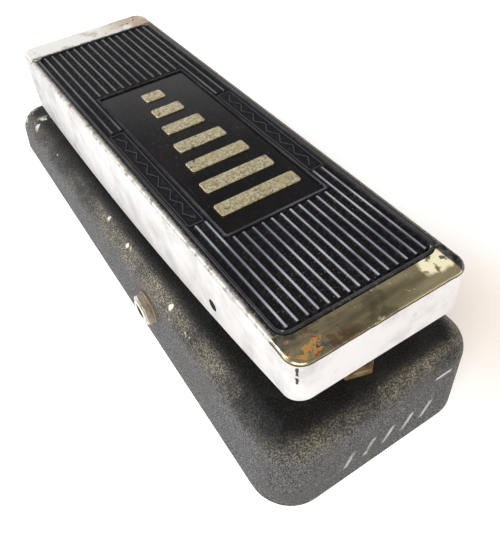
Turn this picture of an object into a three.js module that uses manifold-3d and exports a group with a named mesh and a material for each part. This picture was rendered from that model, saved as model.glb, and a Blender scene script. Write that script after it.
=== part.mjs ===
// A rocker foot pedal: a cast wedge base, a chromed treadle on a pivot shaft, and a rack and
// pinion that turn a potentiometer. Millimetres, +Z up, +X right, the toe end at -Y and the heel
// end at +Y. The origin is on the ground at the middle of the base.
import * as THREE from 'three';
import { mergeVertices } from 'three/addons/utils/BufferGeometryUtils.js';
import Module from 'manifold-3d';

const wasm = await Module();
wasm.setup();

// ---- driving dimensions -------------------------------------------------------------------
const GAP = 0.3; // between pieces that touch
const TRIM_GAP = 0.15; // between small trim and what it lies on
const CLEARANCE = 0.1; // radial, of a shaft in its bore

// Base casting, from its lower rim
const BASE_LENGTH = 254;
const BASE_WIDTH = 90;
const TOE_HEIGHT = 40.5;
const HEEL_HEIGHT = 19;
const TOE_CORNER = 16;
const HEEL_CORNER = 13;
const BASE_WALL = 3;
const BASE_DRAFT = 0.08; // inset per height
const BASE_EDGE = 10.5; // radius of the top edge

// Feet and bottom plate
const FOOT_HEIGHT = 3;
const FOOT_RADIUS = 8;
const PLATE_THICKNESS = 1.2;
const PLATE_INSET = 0.6;
const PLATE_Z = FOOT_HEIGHT + GAP;
const BASE_Z = PLATE_Z + PLATE_THICKNESS + GAP;
const FOOT_X = 27;
const FOOT_TOE_Y = -107;
const FOOT_HEEL_Y = 108;
const POST_RADIUS = 4.5;

// Treadle, in its own frame: origin on the pivot axis, y along it and z out of its top face
const TREADLE_TILT = THREE.MathUtils.degToRad(5);
const PIVOT_Y = -70;
const PIVOT_Z = BASE_Z + 52.7;
const TREADLE_WIDTH = 66;
const TREADLE_LENGTH = 232;
const TREADLE_TOE = -46.8;
const TREADLE_TOP = 17.8;
const TREADLE_CORNER = 6;
const TREADLE_EDGE = 1.5;
const TREADLE_DECK = 5; // thickness of the top
const SKIRT_WALL = 2.5;
const SKIRT_TOE = 18.2; // depth of the skirt at the toe
const SKIRT_RISE = 9.5; // how much deeper it is at the heel
const SKIRT_BOW = 8; // how far its lower edge bows down in between

// Tread mat and emblem
const MAT_WIDTH = 61;
const MAT_TOE_MARGIN = 10.7; // from the treadle's toe end
const MAT_HEEL_MARGIN = 14.3;
const MAT_CORNER = 5;
const MAT_POCKET = 2.2;
const MAT_BASE = 1.6;
const BEAD_WIDTH = 1.6;
const BEAD_HEIGHT = 0.9;
const RIB_COUNT = 15;
const RIB_PITCH = 3.75;
const RIB_WIDTH = 1.5;
const RIB_HEIGHT = 0.8;
const RIB_GAP = 2.4; // from the mat's edge to the ribs' ends
const PANEL_WIDTH = 40;
const PANEL_START = 56; // from the toe edge
const PANEL_END = 162;
const PANEL_THICKNESS = 0.8;
const FRAME_WIDTH = 1.2; // of the ridge round the panel
const FRAME_HEIGHT = 0.7;
const STRIP_START = 66; // plain side strips beside the panel, where the outer ribs stop
const STRIP_END = 134;
const BAR_COUNT = 7;
const BAR_DEPTH = 6.5;
const BAR_THICKNESS = 0.5;
const BAR_SHORT = 9;
const BAR_LONG = 33;

// Pivot
const SHAFT_RADIUS = 2.1;
const SHAFT_HALF = 31.8;
const BOSS_RADIUS = 5;
const BOSS_LENGTH = 3.5;
const EAR_X = 21; // inner face of an ear
const EAR_THICKNESS = 2;
const EAR_RADIUS = 6;
const BUSH_RADIUS = 3.4;

// Rack and pinion
const RACK_ARM = 34; // from the pivot to the rack's pin, along the treadle
const RACK_PIN_RADIUS = 1.5;
const TOOTH_COUNT = 12;
const PITCH_RADIUS = 5;
const TOOTH_PITCH = (2 * Math.PI * PITCH_RADIUS) / TOOTH_COUNT;
const ADDENDUM = 0.7;
const DEDENDUM = 1.0;
const RACK_DEPTH = 5; // along Y
const RACK_BOTTOM = BASE_Z + 2.4;
const PINION_Z = BASE_Z + 15.4;
const POT_RADIUS = 8.5;
const POT_DEPTH = 8;
const POT_BUSH_RADIUS = 3.4;
const POT_SHAFT_RADIUS = 2;

// Jacks and toe switch
const JACK_Y = -32.5;
const JACK_Z = BASE_Z + 16.6;
const JACK_SEAT_X = 43; // the flat that the washer bears on
const JACK_BUSH_RADIUS = 4.7;
const JACK_BORE_RADIUS = 3.3;
const JACK_NUT_FLATS = 12.7;
const SWITCH_X = -1.5;
const SWITCH_Y = -105;
const SWITCH_BUSH_RADIUS = 5.8;
const SWITCH_NUT_FLATS = 16;
const BUTTON_RADIUS = 4;

// ---- materials ----------------------------------------------------------------------------
const finish = (color, roughness, metalness) =>
  new THREE.MeshStandardMaterial({ color, roughness, metalness });
const WRINKLE_PAINT = finish(0x2b2b2c, 0.75, 0.2);
const CHROME = finish(0xe6e3df, 0.18, 1);
const STEEL = finish(0xb5b3ad, 0.35, 1);
const BRASS = finish(0xb08d4a, 0.35, 1);
const RUBBER = finish(0x17171a, 0.7, 0);
const GLOSS_BLACK = finish(0x0b0909, 0.15, 0);
const INLAY = finish(0xc2b89c, 0.4, 0.9);
const NYLON = finish(0xe4e0d2, 0.5, 0);
const PHENOLIC = finish(0x5a3a22, 0.6, 0);
const FELT = finish(0x8d7450, 0.95, 0);
const WIRE_RED = finish(0x8e2420, 0.5, 0);
const WIRE_WHITE = finish(0xd9d5c8, 0.5, 0);
const WIRE_BLACK = finish(0x1a1a1a, 0.5, 0);

// ---- solids -------------------------------------------------------------------------------
function toSolid(geometry) {
  const bare = geometry.clone();
  bare.deleteAttribute('normal');
  bare.deleteAttribute('uv');
  const merged = mergeVertices(bare, 1e-5);
  return new wasm.Manifold(
    new wasm.Mesh({
      numProp: 3,
      vertProperties: new Float32Array(merged.attributes.position.array),
      triVerts: new Uint32Array(merged.index.array),
    }),
  );
}

function toGeometry(solid) {
  const mesh = solid.getMesh();
  const geometry = new THREE.BufferGeometry();
  geometry.setAttribute('position', new THREE.BufferAttribute(mesh.vertProperties, 3));
  geometry.setIndex(new THREE.BufferAttribute(mesh.triVerts, 1));
  geometry.computeVertexNormals();
  return geometry;
}

const combine = (step, first, rest) =>
  toGeometry(rest.reduce((sum, g) => sum[step](toSolid(g)), toSolid(first)));
const join = (first, ...rest) => combine('add', first, rest);
const cut = (first, ...rest) => combine('subtract', first, rest);
const common = (a, b) => toGeometry(toSolid(a).intersect(toSolid(b)));

// A box from one corner to the other
function block(x0, x1, y0, y1, z0, z1) {
  const box = new THREE.BoxGeometry(x1 - x0, y1 - y0, z1 - z0);
  return box.translate((x0 + x1) / 2, (y0 + y1) / 2, (z0 + z1) / 2);
}

// Round bars along an axis, between two places on it
const rodX = (r, x0, x1, sides = 20) =>
  new THREE.CylinderGeometry(r, r, x1 - x0, sides).rotateZ(-Math.PI / 2).translate((x0 + x1) / 2, 0, 0);
const rodY = (r, y0, y1, sides = 20) =>
  new THREE.CylinderGeometry(r, r, y1 - y0, sides).translate(0, (y0 + y1) / 2, 0);
const rodZ = (r, z0, z1, sides = 20) =>
  new THREE.CylinderGeometry(r, r, z1 - z0, sides).rotateX(Math.PI / 2).translate(0, 0, (z0 + z1) / 2);

// A turned piece round Z, from [radius, z] points that start and end on the axis or close
const turned = (points, sides = 20) =>
  new THREE.LatheGeometry(points.map(([r, z]) => new THREE.Vector2(r, z)), sides).rotateX(Math.PI / 2);

function roundedRectangle(width, length, radius) {
  const [x, y] = [width / 2, length / 2];
  const shape = new THREE.Shape();
  shape.moveTo(-x + radius, -y);
  shape.lineTo(x - radius, -y);
  shape.absarc(x - radius, -y + radius, radius, -Math.PI / 2, 0, false);
  shape.lineTo(x, y - radius);
  shape.absarc(x - radius, y - radius, radius, 0, Math.PI / 2, false);
  shape.lineTo(-x + radius, y);
  shape.absarc(-x + radius, y - radius, radius, Math.PI / 2, Math.PI, false);
  shape.lineTo(-x, -y + radius);
  shape.absarc(-x + radius, -y + radius, radius, Math.PI, 1.5 * Math.PI, false);
  return shape;
}

// A flat slab with rounded corners, from height z0 to z1
function slab(width, length, radius, z0, z1, segments = 6) {
  const options = { depth: z1 - z0, bevelEnabled: false, curveSegments: segments };
  return new THREE.ExtrudeGeometry(roundedRectangle(width, length, radius), options).translate(0, 0, z0);
}

// A hexagonal nut's blank along Z, with a flat-to-flat size, corners turned by an angle
const hexagon = (flats, z0, z1, turn = 0) => rodZ(flats / Math.sqrt(3), z0, z1, 6).rotateZ(turn);

// ---- shells with a rounded-rectangle plan ---------------------------------------------------
// Plan points as corner centres and outward directions, so that a ring can be set in by any amount
function planPoints(width, y0, y1, startRadius, endRadius, segments) {
  const points = [];
  const corners = [
    [1, y0, startRadius, -90], [1, y1, endRadius, 0], [-1, y1, endRadius, 90], [-1, y0, startRadius, 180],
  ];
  for (const [side, yEnd, radius, start] of corners) {
    const x = side * (width / 2 - radius);
    const y = yEnd + (yEnd === y0 ? radius : -radius);
    for (let i = 0; i <= segments; i++) {
      const angle = THREE.MathUtils.degToRad(start + (90 * i) / segments);
      points.push({ x, y, radius, dx: Math.cos(angle), dy: Math.sin(angle) });
    }
  }
  return points;
}

// A closed skin through rings of points, with a fan at each end. A ring is a function of Y that
// gives [inset, height], where height is a function of the set-in point's own Y
function ringSkin(plan, rings) {
  const count = plan.length;
  const positions = [];
  for (const ring of rings) {
    for (const p of plan) {
      const [inset, height] = ring(p.y + p.dy * p.radius);
      const reach = p.radius - inset;
      const y = p.y + p.dy * reach;
      positions.push(p.x + p.dx * reach, y, height(y));
    }
  }
  const index = [];
  for (let r = 0; r + 1 < rings.length; r++) {
    for (let i = 0; i < count; i++) {
      const [a, b] = [r * count + i, r * count + ((i + 1) % count)];
      index.push(a, b, b + count, a, b + count, a + count);
    }
  }
  for (const [ring, flip] of [[0, true], [rings.length - 1, false]]) {
    const start = ring * count;
    const centre = positions.length / 3;
    const middle = [0, 0, 0];
    for (let i = 0; i < count; i++) {
      for (let k = 0; k < 3; k++) middle[k] += positions[3 * (start + i) + k] / count;
    }
    positions.push(...middle);
    for (let i = 0; i < count; i++) {
      const [a, b] = [start + i, start + ((i + 1) % count)];
      index.push(...(flip ? [b, a, centre] : [a, b, centre]));
    }
  }
  const geometry = new THREE.BufferGeometry();
  geometry.setAttribute('position', new THREE.Float32BufferAttribute(positions, 3));
  geometry.setIndex(index);
  return geometry;
}

const arcSteps = (count) => Array.from({ length: count }, (_, i) => ((i + 1) * Math.PI) / 2 / count);

// ---- scene --------------------------------------------------------------------------------
const pedal = new THREE.Group();

function add(name, geometry, material, parent = pedal, position = [0, 0, 0]) {
  const mesh = new THREE.Mesh(geometry, material);
  mesh.name = name;
  mesh.position.set(...position);
  parent.add(mesh);
  return mesh;
}

// The deck is the base's sloping top face: z is height above it, and y runs down it to the heel
const DECK_SLOPE = Math.atan((TOE_HEIGHT - HEEL_HEIGHT) / BASE_LENGTH);
const deckHeight = (y) => TOE_HEIGHT - ((TOE_HEIGHT - HEEL_HEIGHT) * (y + BASE_LENGTH / 2)) / BASE_LENGTH;
const DECK_Z = BASE_Z + deckHeight(0);
const deck = new THREE.Group();
deck.position.z = DECK_Z;
deck.rotation.x = -DECK_SLOPE;
pedal.add(deck);

// A place on the deck under a given Y, and the deck coordinates of a place in the pedal's frame
const alongDeck = (y) => y / Math.cos(DECK_SLOPE);
function toDeck(y, z) {
  const [c, s] = [Math.cos(DECK_SLOPE), Math.sin(DECK_SLOPE)];
  return [y * c - (z - DECK_Z) * s, y * s + (z - DECK_Z) * c];
}

// The treadle's own frame
const treadle = new THREE.Group();
treadle.position.set(0, PIVOT_Y, PIVOT_Z);
treadle.rotation.x = -TREADLE_TILT;
pedal.add(treadle);
const RACK_Y = PIVOT_Y + RACK_ARM * Math.cos(TREADLE_TILT);
const RACK_PIN_Z = PIVOT_Z - RACK_ARM * Math.sin(TREADLE_TILT);
const RACK_HOLE = 6.5; // half of the opening for the rack, along X and Y

// ---- base housing -------------------------------------------------------------------------
function housingRings(wall) {
  const radius = BASE_EDGE - wall;
  const sideInset = (y) => wall + BASE_DRAFT * (deckHeight(y) - BASE_EDGE);
  const low = wall > 0 ? BASE_Z - 1 : BASE_Z;
  const rings = [
    () => [wall, () => low],
    (y) => [sideInset(y), (at) => BASE_Z + deckHeight(at) - BASE_EDGE],
  ];
  for (const angle of arcSteps(5)) {
    rings.push((y) => [
      sideInset(y) + radius * (1 - Math.cos(angle)),
      (at) => BASE_Z + deckHeight(at) - BASE_EDGE + radius * Math.sin(angle),
    ]);
  }
  return rings;
}

const footPlaces = [
  ['toe_left', -FOOT_X, FOOT_TOE_Y], ['toe_right', FOOT_X, FOOT_TOE_Y],
  ['heel_left', -FOOT_X, FOOT_HEEL_Y], ['heel_right', FOOT_X, FOOT_HEEL_Y],
];
const SCREW_SHANK = 1.6;
const SCREW_BORE = SCREW_SHANK + CLEARANCE + 0.1;
const POST_BORE_DEPTH = 9;
const BRACKET_SCREW_X = 12;
const POT_PLATE_Y = RACK_Y + RACK_DEPTH / 2 + 2.5;
const POT_SCREW_X = [1, 15];
const POT_SCREW_Y = POT_PLATE_Y + 7;

function baseHousing() {
  const [y0, y1] = [-BASE_LENGTH / 2, BASE_LENGTH / 2];
  const plan = planPoints(BASE_WIDTH, y0, y1, TOE_CORNER, HEEL_CORNER, 7);
  const outer = toSolid(ringSkin(plan, housingRings(0)));
  let shell = outer.subtract(toSolid(ringSkin(plan, housingRings(BASE_WALL))));
  for (const [, x, y] of footPlaces) {
    const post = toSolid(rodZ(POST_RADIUS, BASE_Z, BASE_Z + TOE_HEIGHT, 16).translate(x, y, 0));
    shell = shell.add(post.intersect(outer));
    shell = shell.subtract(
      toSolid(rodZ(SCREW_BORE, BASE_Z - 1, BASE_Z + POST_BORE_DEPTH, 12).translate(x, y, 0)),
    );
  }
  for (const side of [-1, 1]) {
    const seat = rodX(8.6, JACK_SEAT_X, BASE_WIDTH, 28);
    const hole = rodX(JACK_BUSH_RADIUS + CLEARANCE + 0.1, JACK_SEAT_X - 10, BASE_WIDTH, 24);
    for (const g of [seat, hole]) {
      if (side < 0) g.rotateZ(Math.PI);
      shell = shell.subtract(toSolid(g.translate(0, JACK_Y, JACK_Z)));
    }
  }
  const top = BASE_Z + TOE_HEIGHT + 5;
  const openings = [
    block(-RACK_HOLE, RACK_HOLE, RACK_Y - RACK_HOLE, RACK_Y + RACK_HOLE, BASE_Z + 15, top),
  ];
  const drill = (x, y, r) => rodZ(r, -10, 5, 16).translate(x, alongDeck(y), 0).rotateX(-DECK_SLOPE)
    .translate(0, 0, DECK_Z);
  for (const x of [-BRACKET_SCREW_X, BRACKET_SCREW_X]) openings.push(drill(x, PIVOT_Y, 2.1));
  for (const x of POT_SCREW_X) {
    openings.push(rodZ(SCREW_BORE, BASE_Z + 15, top, 12).translate(x, POT_SCREW_Y, 0));
  }
  openings.push(drill(SWITCH_X, SWITCH_Y, SWITCH_BUSH_RADIUS + CLEARANCE + 0.1));
  for (const g of openings) shell = shell.subtract(toSolid(g));
  return toGeometry(shell);
}
add('base_housing', baseHousing(), WRINKLE_PAINT);

// ---- bottom plate, feet and their screws ----------------------------------------------------
function basePlate() {
  const plan = planPoints(BASE_WIDTH, -BASE_LENGTH / 2, BASE_LENGTH / 2, TOE_CORNER, HEEL_CORNER, 7);
  const faces = [PLATE_Z, PLATE_Z + PLATE_THICKNESS];
  const plate = ringSkin(plan, faces.map((z) => () => [PLATE_INSET, () => z]));
  return cut(plate, ...footPlaces.map(([, x, y]) => rodZ(SCREW_BORE, 0, BASE_Z, 12).translate(x, y, 0)));
}
add('base_plate', basePlate(), STEEL);

function foot() {
  const recess = 4.2;
  const floor = 1.4;
  return turned([
    [SCREW_BORE, floor], [recess, floor], [recess, 0], [FOOT_RADIUS - 0.6, 0], [FOOT_RADIUS, 0.8],
    [FOOT_RADIUS - 0.8, FOOT_HEIGHT], [SCREW_BORE, FOOT_HEIGHT], [SCREW_BORE, floor],
  ], 20);
}

function footScrew() {
  const head = 3.1;
  const low = 0.4;
  const seat = 1.4 - TRIM_GAP;
  return turned([
    [0, low], [head - 0.5, low], [head, low + 0.4], [head, seat], [SCREW_SHANK, seat],
    [SCREW_SHANK, BASE_Z + POST_BORE_DEPTH - 1.5], [0, BASE_Z + POST_BORE_DEPTH - 0.5],
  ], 14);
}
for (const [place, x, y] of footPlaces) {
  add(`foot_${place}`, foot(), RUBBER, pedal, [x, y, 0]);
  add(`foot_screw_${place}`, footScrew(), STEEL, pedal, [x, y, 0]);
}

// ---- pivot bracket, on the deck -------------------------------------------------------------
const [PIVOT_DECK_Y, PIVOT_DECK_Z] = toDeck(PIVOT_Y, PIVOT_Z);

function pivotBracket() {
  const flange = slab(2 * (EAR_X + EAR_THICKNESS), 20, 2, GAP, GAP + 2, 3).translate(0, PIVOT_DECK_Y, 0);
  let bracket = toSolid(flange);
  for (const side of [-1, 1]) {
    const ear = new THREE.Shape();
    ear.moveTo(-9, 0);
    ear.lineTo(9, 0);
    ear.lineTo(EAR_RADIUS, PIVOT_DECK_Z - GAP);
    ear.absarc(0, PIVOT_DECK_Z - GAP, EAR_RADIUS, 0, Math.PI, false);
    const options = { depth: EAR_THICKNESS, bevelEnabled: false, curveSegments: 10 };
    const plate = new THREE.ExtrudeGeometry(ear, options).rotateX(Math.PI / 2).rotateZ(Math.PI / 2);
    const x = side > 0 ? EAR_X : -EAR_X - EAR_THICKNESS;
    bracket = bracket.add(toSolid(plate.translate(x, PIVOT_DECK_Y, GAP)));
  }
  const bore = rodX(BUSH_RADIUS + CLEARANCE, -40, 40, 20).translate(0, PIVOT_DECK_Y, PIVOT_DECK_Z);
  bracket = bracket.subtract(toSolid(bore));
  for (const x of [-BRACKET_SCREW_X, BRACKET_SCREW_X]) {
    bracket = bracket.subtract(toSolid(rodZ(2.1, -1, 5, 16).translate(x, alongDeck(PIVOT_Y), 0)));
  }
  return toGeometry(bracket);
}
add('pivot_bracket', pivotBracket(), STEEL, deck);

// A pan-head screw with its seat at z = 0 and its shank pointing down, with a cross slot
function panScrew(shank, length, head, headHeight) {
  const body = turned([
    [0, -length], [shank - 0.4, -length], [shank, -length + 0.4], [shank, 0], [head, 0],
    [head, headHeight * 0.4], [head * 0.8, headHeight * 0.85], [0, headHeight],
  ], 16);
  const arm = head * 0.55;
  const floor = headHeight * 0.4;
  const slots = [block(-arm, arm, -0.35, 0.35, floor, 9), block(-0.35, 0.35, -arm, arm, floor, 9)];
  return cut(body, ...slots);
}
for (const [place, x] of [['left', -BRACKET_SCREW_X], ['right', BRACKET_SCREW_X]]) {
  const seat = 2 + GAP + TRIM_GAP;
  const screw = panScrew(1.95, 8, 3.8, 2.4);
  add(`pivot_bracket_screw_${place}`, screw, STEEL, deck, [x, alongDeck(PIVOT_Y), seat]);
}

function pivotBush() {
  const bore = SHAFT_RADIUS + CLEARANCE;
  const [flange, flangeEnd] = [BUSH_RADIUS + 1.4, 0.9];
  const end = flangeEnd + TRIM_GAP + EAR_THICKNESS;
  const profile = [
    [bore, 0], [flange, 0], [flange, flangeEnd], [BUSH_RADIUS, flangeEnd], [BUSH_RADIUS, end],
    [bore, end], [bore, 0],
  ];
  return turned(profile).rotateY(Math.PI / 2).translate(EAR_X - flangeEnd - TRIM_GAP, 0, 0);
}
add('pivot_bush_right', pivotBush(), BRASS, pedal, [0, PIVOT_Y, PIVOT_Z]);
add('pivot_bush_left', pivotBush().rotateZ(Math.PI), BRASS, pedal, [0, PIVOT_Y, PIVOT_Z]);

// ---- treadle shell --------------------------------------------------------------------------
const TREADLE_HEEL = TREADLE_TOE + TREADLE_LENGTH;
const matMiddle = (TREADLE_TOE + MAT_TOE_MARGIN + TREADLE_HEEL - MAT_HEEL_MARGIN) / 2;

function skirtDepth(y) {
  const t = THREE.MathUtils.clamp((y - TREADLE_TOE) / TREADLE_LENGTH, 0, 1);
  return SKIRT_TOE + SKIRT_RISE * t + 4 * SKIRT_BOW * t * (1 - t);
}

// The skirt's lower edge follows skirtDepth, so what lies below it is cut away by this block
function belowSkirt() {
  const edge = new THREE.Shape();
  const steps = 14;
  const [front, back, low] = [TREADLE_TOE - 5, TREADLE_HEEL + 5, -40];
  edge.moveTo(front, low);
  edge.lineTo(back, low);
  edge.lineTo(back, TREADLE_TOP - skirtDepth(back));
  for (let i = steps; i >= 0; i--) {
    const y = TREADLE_TOE + (TREADLE_LENGTH * i) / steps;
    edge.lineTo(y, TREADLE_TOP - skirtDepth(y));
  }
  edge.lineTo(front, TREADLE_TOP - skirtDepth(front));
  const width = TREADLE_WIDTH + 10;
  return new THREE.ExtrudeGeometry(edge, { depth: width, bevelEnabled: false })
    .rotateX(Math.PI / 2).rotateZ(Math.PI / 2).translate(-width / 2, 0, 0);
}

const BOSS_X = TREADLE_WIDTH / 2 - SKIRT_WALL - BOSS_LENGTH;
const LUG_X = 4.2;
const LUG_THICKNESS = 2.5;
const UNDERSIDE = TREADLE_TOP - TREADLE_DECK;
const PRESS_BOSS_Y = -34.5;
const PRESS_BOSS_Z = 8.6;
const HEEL_BOSS_X = 18;
const HEEL_BOSS_Y = 172;
const PAD_HEIGHT = 2.5;

function treadleShell() {
  const plan = planPoints(TREADLE_WIDTH, TREADLE_TOE, TREADLE_HEEL, TREADLE_CORNER, TREADLE_CORNER, 8);
  const low = -22;
  const outerRings = [() => [0, () => low], () => [0, () => TREADLE_TOP - TREADLE_EDGE]];
  for (const angle of arcSteps(4)) {
    outerRings.push(() => [
      TREADLE_EDGE * (1 - Math.cos(angle)), () => TREADLE_TOP - TREADLE_EDGE * (1 - Math.sin(angle)),
    ]);
  }
  const innerRings = [() => [SKIRT_WALL, () => low - 1], () => [SKIRT_WALL, () => UNDERSIDE]];
  const outer = toSolid(ringSkin(plan, outerRings));
  let shell = outer.subtract(toSolid(ringSkin(plan, innerRings)));
  for (const side of [-1, 1]) {
    const inner = side > 0 ? [BOSS_X, TREADLE_WIDTH / 2 - 1] : [1 - TREADLE_WIDTH / 2, -BOSS_X];
    shell = shell.add(toSolid(rodX(BOSS_RADIUS, ...inner, 20)));
    const x = side > 0 ? LUG_X : -LUG_X - LUG_THICKNESS;
    const lug = block(x, x + LUG_THICKNESS, RACK_ARM - 4, RACK_ARM + 4, -3.5, UNDERSIDE + 1);
    shell = shell.add(toSolid(lug));
    const heelBoss = rodZ(5, TREADLE_TOP - skirtDepth(HEEL_BOSS_Y), UNDERSIDE + 1, 16);
    shell = shell.add(toSolid(heelBoss.translate(side * HEEL_BOSS_X, HEEL_BOSS_Y, 0)));
  }
  shell = shell.add(toSolid(rodZ(6, PRESS_BOSS_Z, UNDERSIDE + 1, 16).translate(SWITCH_X, PRESS_BOSS_Y, 0)));
  shell = shell.subtract(toSolid(belowSkirt()));
  const pocketLength = TREADLE_LENGTH - MAT_TOE_MARGIN - MAT_HEEL_MARGIN;
  const pocket = slab(MAT_WIDTH, pocketLength, MAT_CORNER, TREADLE_TOP - MAT_POCKET, TREADLE_TOP + 2);
  shell = shell.subtract(toSolid(pocket.translate(0, matMiddle, 0)));
  shell = shell.subtract(toSolid(rodX(SHAFT_RADIUS + CLEARANCE, -40, 40, 20)));
  shell = shell.subtract(toSolid(rodX(RACK_PIN_RADIUS + CLEARANCE, -12, 12, 16).translate(0, RACK_ARM, 0)));
  return toGeometry(shell);
}
add('treadle_shell', treadleShell(), CHROME, treadle);

// ---- tread mat, emblem panel and its inlay --------------------------------------------------
const MAT_LENGTH = TREADLE_LENGTH - MAT_TOE_MARGIN - MAT_HEEL_MARGIN - 2 * TRIM_GAP;
const MAT_TOE = TREADLE_TOE + MAT_TOE_MARGIN + TRIM_GAP;
const MAT_Z = TREADLE_TOP - MAT_POCKET + TRIM_GAP;
const FIELD_Z = MAT_Z + MAT_BASE;
const [PANEL_Y0, PANEL_Y1] = [TREADLE_TOE + PANEL_START, TREADLE_TOE + PANEL_END];
const [STRIP_Y0, STRIP_Y1] = [TREADLE_TOE + STRIP_START, TREADLE_TOE + STRIP_END];
const PANEL_FLOOR = FIELD_Z - 0.9;

// A tapered rib along Y, from y0 to y1, at x
function rib(x, y0, y1) {
  const half = RIB_WIDTH / 2;
  const crest = half * 0.5;
  const section = new THREE.Shape();
  section.moveTo(-half, -0.2);
  section.lineTo(half, -0.2);
  section.lineTo(crest, RIB_HEIGHT);
  section.lineTo(-crest, RIB_HEIGHT);
  return new THREE.ExtrudeGeometry(section, { depth: y1 - y0, bevelEnabled: false })
    .rotateX(Math.PI / 2).translate(x, y1, FIELD_Z);
}

function treadMat() {
  const width = MAT_WIDTH - 2 * TRIM_GAP;
  const blank = slab(width, MAT_LENGTH, MAT_CORNER, MAT_Z, FIELD_Z + BEAD_HEIGHT);
  let mat = toSolid(blank.translate(0, matMiddle, 0));
  const field = slab(
    width - 2 * BEAD_WIDTH, MAT_LENGTH - 2 * BEAD_WIDTH, MAT_CORNER - BEAD_WIDTH, FIELD_Z, FIELD_Z + 5,
  );
  mat = mat.subtract(toSolid(field.translate(0, matMiddle, 0)));
  const ends = [MAT_TOE + RIB_GAP, MAT_TOE + MAT_LENGTH - RIB_GAP];
  for (let i = 0; i < RIB_COUNT; i++) {
    const x = (i - (RIB_COUNT - 1) / 2) * RIB_PITCH;
    const stop = Math.abs(x) < PANEL_WIDTH / 2 + 1.5 ? [PANEL_Y0 - 2, PANEL_Y1 + 2] : [STRIP_Y0, STRIP_Y1];
    for (const [from, to] of [[ends[0], stop[0]], [stop[1], ends[1]]]) {
      mat = mat.add(toSolid(rib(x, from, to)));
    }
  }
  const panelMiddle = (PANEL_Y0 + PANEL_Y1) / 2;
  const frameGrow = 2 * (FRAME_WIDTH + TRIM_GAP);
  const frame = slab(
    PANEL_WIDTH + frameGrow, PANEL_Y1 - PANEL_Y0 + frameGrow, 1.6, FIELD_Z - 0.2, FIELD_Z + FRAME_HEIGHT, 3,
  );
  mat = mat.add(toSolid(frame.translate(0, panelMiddle, 0)));
  const recess = slab(
    PANEL_WIDTH + 2 * TRIM_GAP, PANEL_Y1 - PANEL_Y0 + 2 * TRIM_GAP, 1, PANEL_FLOOR, FIELD_Z + 5, 2,
  );
  return toGeometry(mat.subtract(toSolid(recess.translate(0, panelMiddle, 0))));
}
add('tread_mat', treadMat(), RUBBER, treadle);

const PANEL_Z = PANEL_FLOOR + TRIM_GAP;
const panel = slab(PANEL_WIDTH, PANEL_Y1 - PANEL_Y0, 0.8, PANEL_Z, PANEL_Z + PANEL_THICKNESS, 2);
add('emblem_plate', panel.translate(0, (PANEL_Y0 + PANEL_Y1) / 2, 0), GLOSS_BLACK, treadle);

// Bars that grow towards the toe, as a level mark does
const BAR_PITCH = (PANEL_Y1 - PANEL_Y0 - 10) / BAR_COUNT;
for (let i = 0; i < BAR_COUNT; i++) {
  const width = BAR_LONG + ((BAR_SHORT - BAR_LONG) * i) / (BAR_COUNT - 1);
  const y = PANEL_Y0 + 5 + BAR_PITCH * (i + 0.5);
  const low = PANEL_Z + PANEL_THICKNESS + TRIM_GAP;
  const bar = slab(width, BAR_DEPTH, 1, low, low + BAR_THICKNESS, 3);
  add(`emblem_bar_${i + 1}`, bar, INLAY, treadle, [0, y, 0]);
}

// ---- pivot shaft and clips ------------------------------------------------------------------
const CLIP_X = EAR_X + EAR_THICKNESS + 1.2;
const CLIP_THICKNESS = 0.8;
const GROOVE_RADIUS = 1.5;

function groovedShaft(radius, half, grooves) {
  const profile = [[0, -half], [radius - 0.4, -half], [radius, -half + 0.4]];
  for (const x of grooves) {
    profile.push([radius, x], [GROOVE_RADIUS * (radius / SHAFT_RADIUS), x]);
    profile.push([GROOVE_RADIUS * (radius / SHAFT_RADIUS), x + CLIP_THICKNESS + 0.2]);
    profile.push([radius, x + CLIP_THICKNESS + 0.2]);
  }
  profile.push([radius, half - 0.4], [radius - 0.4, half], [0, half]);
  return turned(profile, 16).rotateY(Math.PI / 2);
}
const clipGroove = CLIP_THICKNESS + 0.2;
const shaft = groovedShaft(SHAFT_RADIUS, SHAFT_HALF, [-CLIP_X - clipGroove, CLIP_X]);
add('pivot_shaft', shaft, BRASS, treadle);

// An E-clip: a ring with an open mouth, round a groove
function clip(inner, outer, thickness) {
  const ring = new THREE.Shape();
  const mouth = 0.75;
  ring.absarc(0, 0, outer, mouth, 2 * Math.PI - mouth, false);
  ring.absarc(0, 0, inner, 2 * Math.PI - mouth, mouth, true);
  return new THREE.ExtrudeGeometry(ring, { depth: thickness, bevelEnabled: false, curveSegments: 12 })
    .rotateY(Math.PI / 2);
}
const clipRing = () => clip(GROOVE_RADIUS + 0.1, 3.8, CLIP_THICKNESS).rotateX(Math.PI / 2);
add('pivot_clip_right', clipRing(), STEEL, treadle, [CLIP_X + 0.1, 0, 0]);
add('pivot_clip_left', clipRing(), STEEL, treadle, [-CLIP_X - clipGroove + 0.1, 0, 0]);

// ---- rack, its pin, guide and pinion ----------------------------------------------------------
const PIN_CLIP_X = LUG_X + LUG_THICKNESS + 0.3;
const pinProfile = groovedShaft(RACK_PIN_RADIUS, PIN_CLIP_X + 2, [PIN_CLIP_X]);
const pinHead = rodX(2.6, -PIN_CLIP_X - 2, -PIN_CLIP_X, 16);
add('rack_pin', join(pinProfile, pinHead), STEEL, treadle, [0, RACK_ARM, 0]);
const pinGroove = (GROOVE_RADIUS * RACK_PIN_RADIUS) / SHAFT_RADIUS;
const pinClip = clip(pinGroove + 0.1, 3, CLIP_THICKNESS).rotateX(Math.PI / 2);
add('rack_pin_clip', pinClip, STEEL, treadle, [PIN_CLIP_X + 0.1, RACK_ARM, 0]);

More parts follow.
